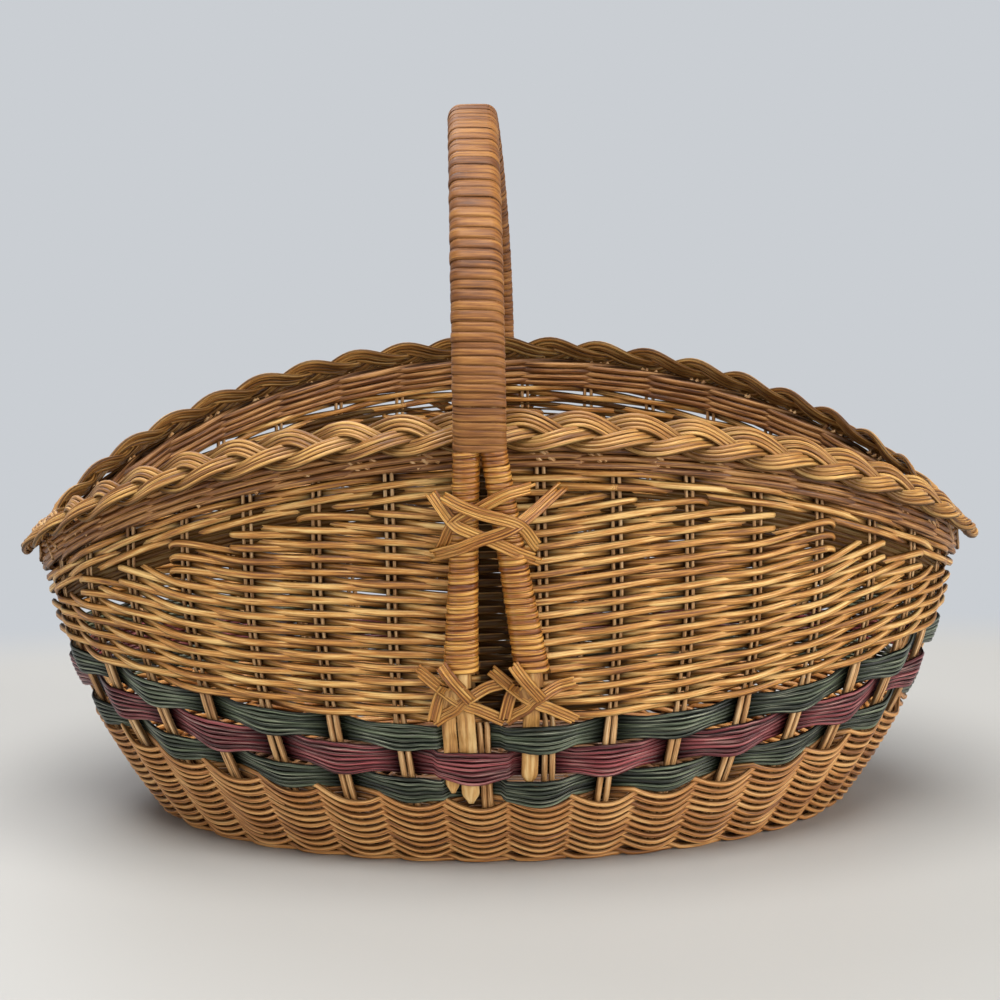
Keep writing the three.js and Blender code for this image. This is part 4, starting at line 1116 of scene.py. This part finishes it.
def build_base():
    """Woven floor: straight sticks across and along, and oval rows that pass over and under them
    as a sine of half the number of stake pairs in a round."""
    reeds = Reeds()
    a0, b0 = BASE_HALF_LENGTH - BASE_GAP, BASE_HALF_DEPTH - BASE_GAP
    turns = np.linspace(0, TURN, ROUND_POINTS, endpoint=False)
    gap = (b0 - BASE_HEART) / BASE_ROWS
    for k in range(BASE_ROWS):
        inset = gap * (k + 0.5)
        phase = 1 if k % 2 else -1
        rise = 1.3 * phase * np.sin(turns * STAKE_PAIRS / 2)
        path = np.stack([(a0 - inset) * np.cos(turns), (b0 - inset) * np.sin(turns),
                         BASE_Z + rise], -1)
        # Painted shade, more where a row dips under the sticks
        reeds.add(path, UPWARD, gap * 0.5, 1.45, sides=6, closed=True,
                  tucked=np.clip(0.3 - rise / 4, 0, 1))
    reeds.piece("base_weave", base_reed, "stained_reed", ["base"])
    sticks = Reeds()
    count, half_width, half_thick = CROSS_STICKS
    for x in np.linspace(-0.5, 0.5, count) * (a0 * 1.75):
        reach = b0 * math.sqrt(max(1 - (x / a0) ** 2, 0.02)) - 4
        y = np.linspace(-reach, reach, 9)
        path = np.stack([x + 0 * y, y, BASE_Z + 0 * y], -1)
        sticks.add(path, UPWARD, half_width, half_thick)
    count, half_width, half_thick = LONG_STICKS
    for y in np.linspace(-9, 9, count):
        x = np.linspace(-a0 + 10, a0 - 10, 11)
        path = np.stack([x, y + 0 * x, BASE_Z + 0.2 + 0 * x], -1)
        sticks.add(path, UPWARD, half_width, half_thick)
    sticks.piece("base_sticks", base_reed, "stake_reed")


# Making
build_stakes()
build_upper_weave()
build_lower_weave()
build_top_wale()
build_ribbon("upper_green", green_reed, "green_reed", 6, 1, 6, 1.95)
build_ribbon("maroon", maroon_reed, "maroon_reed", 18, -1, 7, 2.02)
build_ribbon("lower_green", green_reed, "green_reed", 30, 1, 6, 1.95)
build_border()
build_cut_ends()
build_handle_rods()
build_bow_wrap()
for place, face in (("front", -1), ("back", 1)):
    for word, rod_side in (("_left", -1), ("_right", 1)):
        build_leg_wrap(place + word, face, rod_side)
        build_foot_lashing(place + word, face, rod_side)
build_star("front", -1)
build_star("back", 1)
build_base()

# Camera, turned a little round the basket
FOCAL_PX, IMAGE_PX, SENSOR = 3080, 1000, 36.0
EYE = Vector((0.57, -1430, 375)) * MM
BASKET_TURN, LOOK_DOWN, ROLL = -0.013, 0.163, -0.015
camera = bpy.data.cameras.new("camera")
camera.lens = FOCAL_PX / IMAGE_PX * SENSOR
camera.sensor_width = SENSOR
camera.clip_end = 500
eye = new_object("camera", camera)
eye.matrix_world = (Matrix.Rotation(BASKET_TURN, 4, "Z") @ Matrix.Translation(EYE)
                    @ Matrix.Rotation(math.pi / 2 - LOOK_DOWN, 4, "X")
                    @ Matrix.Rotation(ROLL, 4, "Z"))
bpy.context.scene.camera = eye

# Floor, in metres: grey round the basket, then it fades into the tone of the room
FLOOR = 120.0
FADE_START, FADE_END = 0.43, 0.56
ROOM_TONE = colour(202, 206, 211)
floor_mesh = bpy.data.meshes.new("floor")
floor_mesh.from_pydata([(-FLOOR, -FLOOR, 0), (FLOOR, -FLOOR, 0), (FLOOR, FLOOR, 0),
                        (-FLOOR, FLOOR, 0)], [], [(0, 1, 2, 3)])
floor = new_object("floor", floor_mesh)
floor_paint = bpy.data.materials.new("pale_floor")
floor_paint.use_nodes = True
paint = floor_paint.node_tree
where = add_node(paint, "ShaderNodeTexCoord", {})
around_basket = add_node(paint, "ShaderNodeMapping", {
    "Vector": where.outputs["Object"], "Location": (0, 0.12, 0), "Scale": (0.6, 1, 1)})
away = add_node(paint, "ShaderNodeVectorMath", {0: around_basket.outputs["Vector"]},
                operation="LENGTH")
fade = add_node(paint, "ShaderNodeMapRange", {
    "Value": away.outputs["Value"], "From Min": FADE_START, "From Max": FADE_END},
    interpolation_type="SMOOTHSTEP")
near = feed(paint, paint.nodes["Principled BSDF"], {
    "Base Color": colour(176, 176, 174), "Roughness": 0.55})
room = add_node(paint, "ShaderNodeEmission", {"Color": ROOM_TONE, "Strength": 1.0})
blend = add_node(paint, "ShaderNodeMixShader", {
    0: fade.outputs["Result"], 1: near.outputs[0], 2: room.outputs[0]})
feed(paint, paint.nodes["Material Output"], {"Surface": blend.outputs[0]})
floor_mesh.materials.append(floor_paint)


def area_light(name, place, size, power, tone=(1.0, 0.97, 0.93), aim_z=0.1):
    """Round lamp in metres and watts, aimed at a height above the middle of the floor."""
    lamp = bpy.data.lights.new(name, "AREA")
    lamp.shape = "DISK"
    lamp.size, lamp.energy, lamp.color = size, power, tone
    obj = new_object(name, lamp)
    obj.location = place
    aim = Vector((0, 0, aim_z)) - Vector(place)
    obj.rotation_euler = aim.to_track_quat("-Z", "Y").to_euler()


area_light("ceiling_light", (-0.1, -0.45, 2.9), 2.6, 110)
area_light("front_light", (1.4, -2.8, 1.1), 1.6, 30, (1.0, 0.96, 0.91))
area_light("right_light", (2.4, -0.9, 0.9), 1.2, 28)
area_light("left_light", (-2.2, -1.5, 0.5), 1.2, 9)
area_light("back_light", (-0.8, 1.9, 1.9), 1.6, 22, (0.98, 0.98, 1.0), aim_z=0.15)

# The room is as bright as the far floor at the horizon and dimmer above
HORIZON, HIGH_UP, DIMMED = 0.16, 0.34, 0.28
world = bpy.data.worlds.new("room")
world.use_nodes = True
sky = world.node_tree
view = add_node(sky, "ShaderNodeTexCoord", {})
axes = add_node(sky, "ShaderNodeSeparateXYZ", {0: view.outputs["Generated"]})
above = add_node(sky, "ShaderNodeMapRange", {
    "Value": axes.outputs["Z"], "From Min": HORIZON, "From Max": HIGH_UP,
    "To Min": 1.0, "To Max": DIMMED}, interpolation_type="SMOOTHSTEP")
feed(sky, sky.nodes["Background"], {"Color": ROOM_TONE, "Strength": above.outputs["Result"]})
bpy.context.scene.world = world
bpy.context.scene.view_settings.view_transform = "Standard"
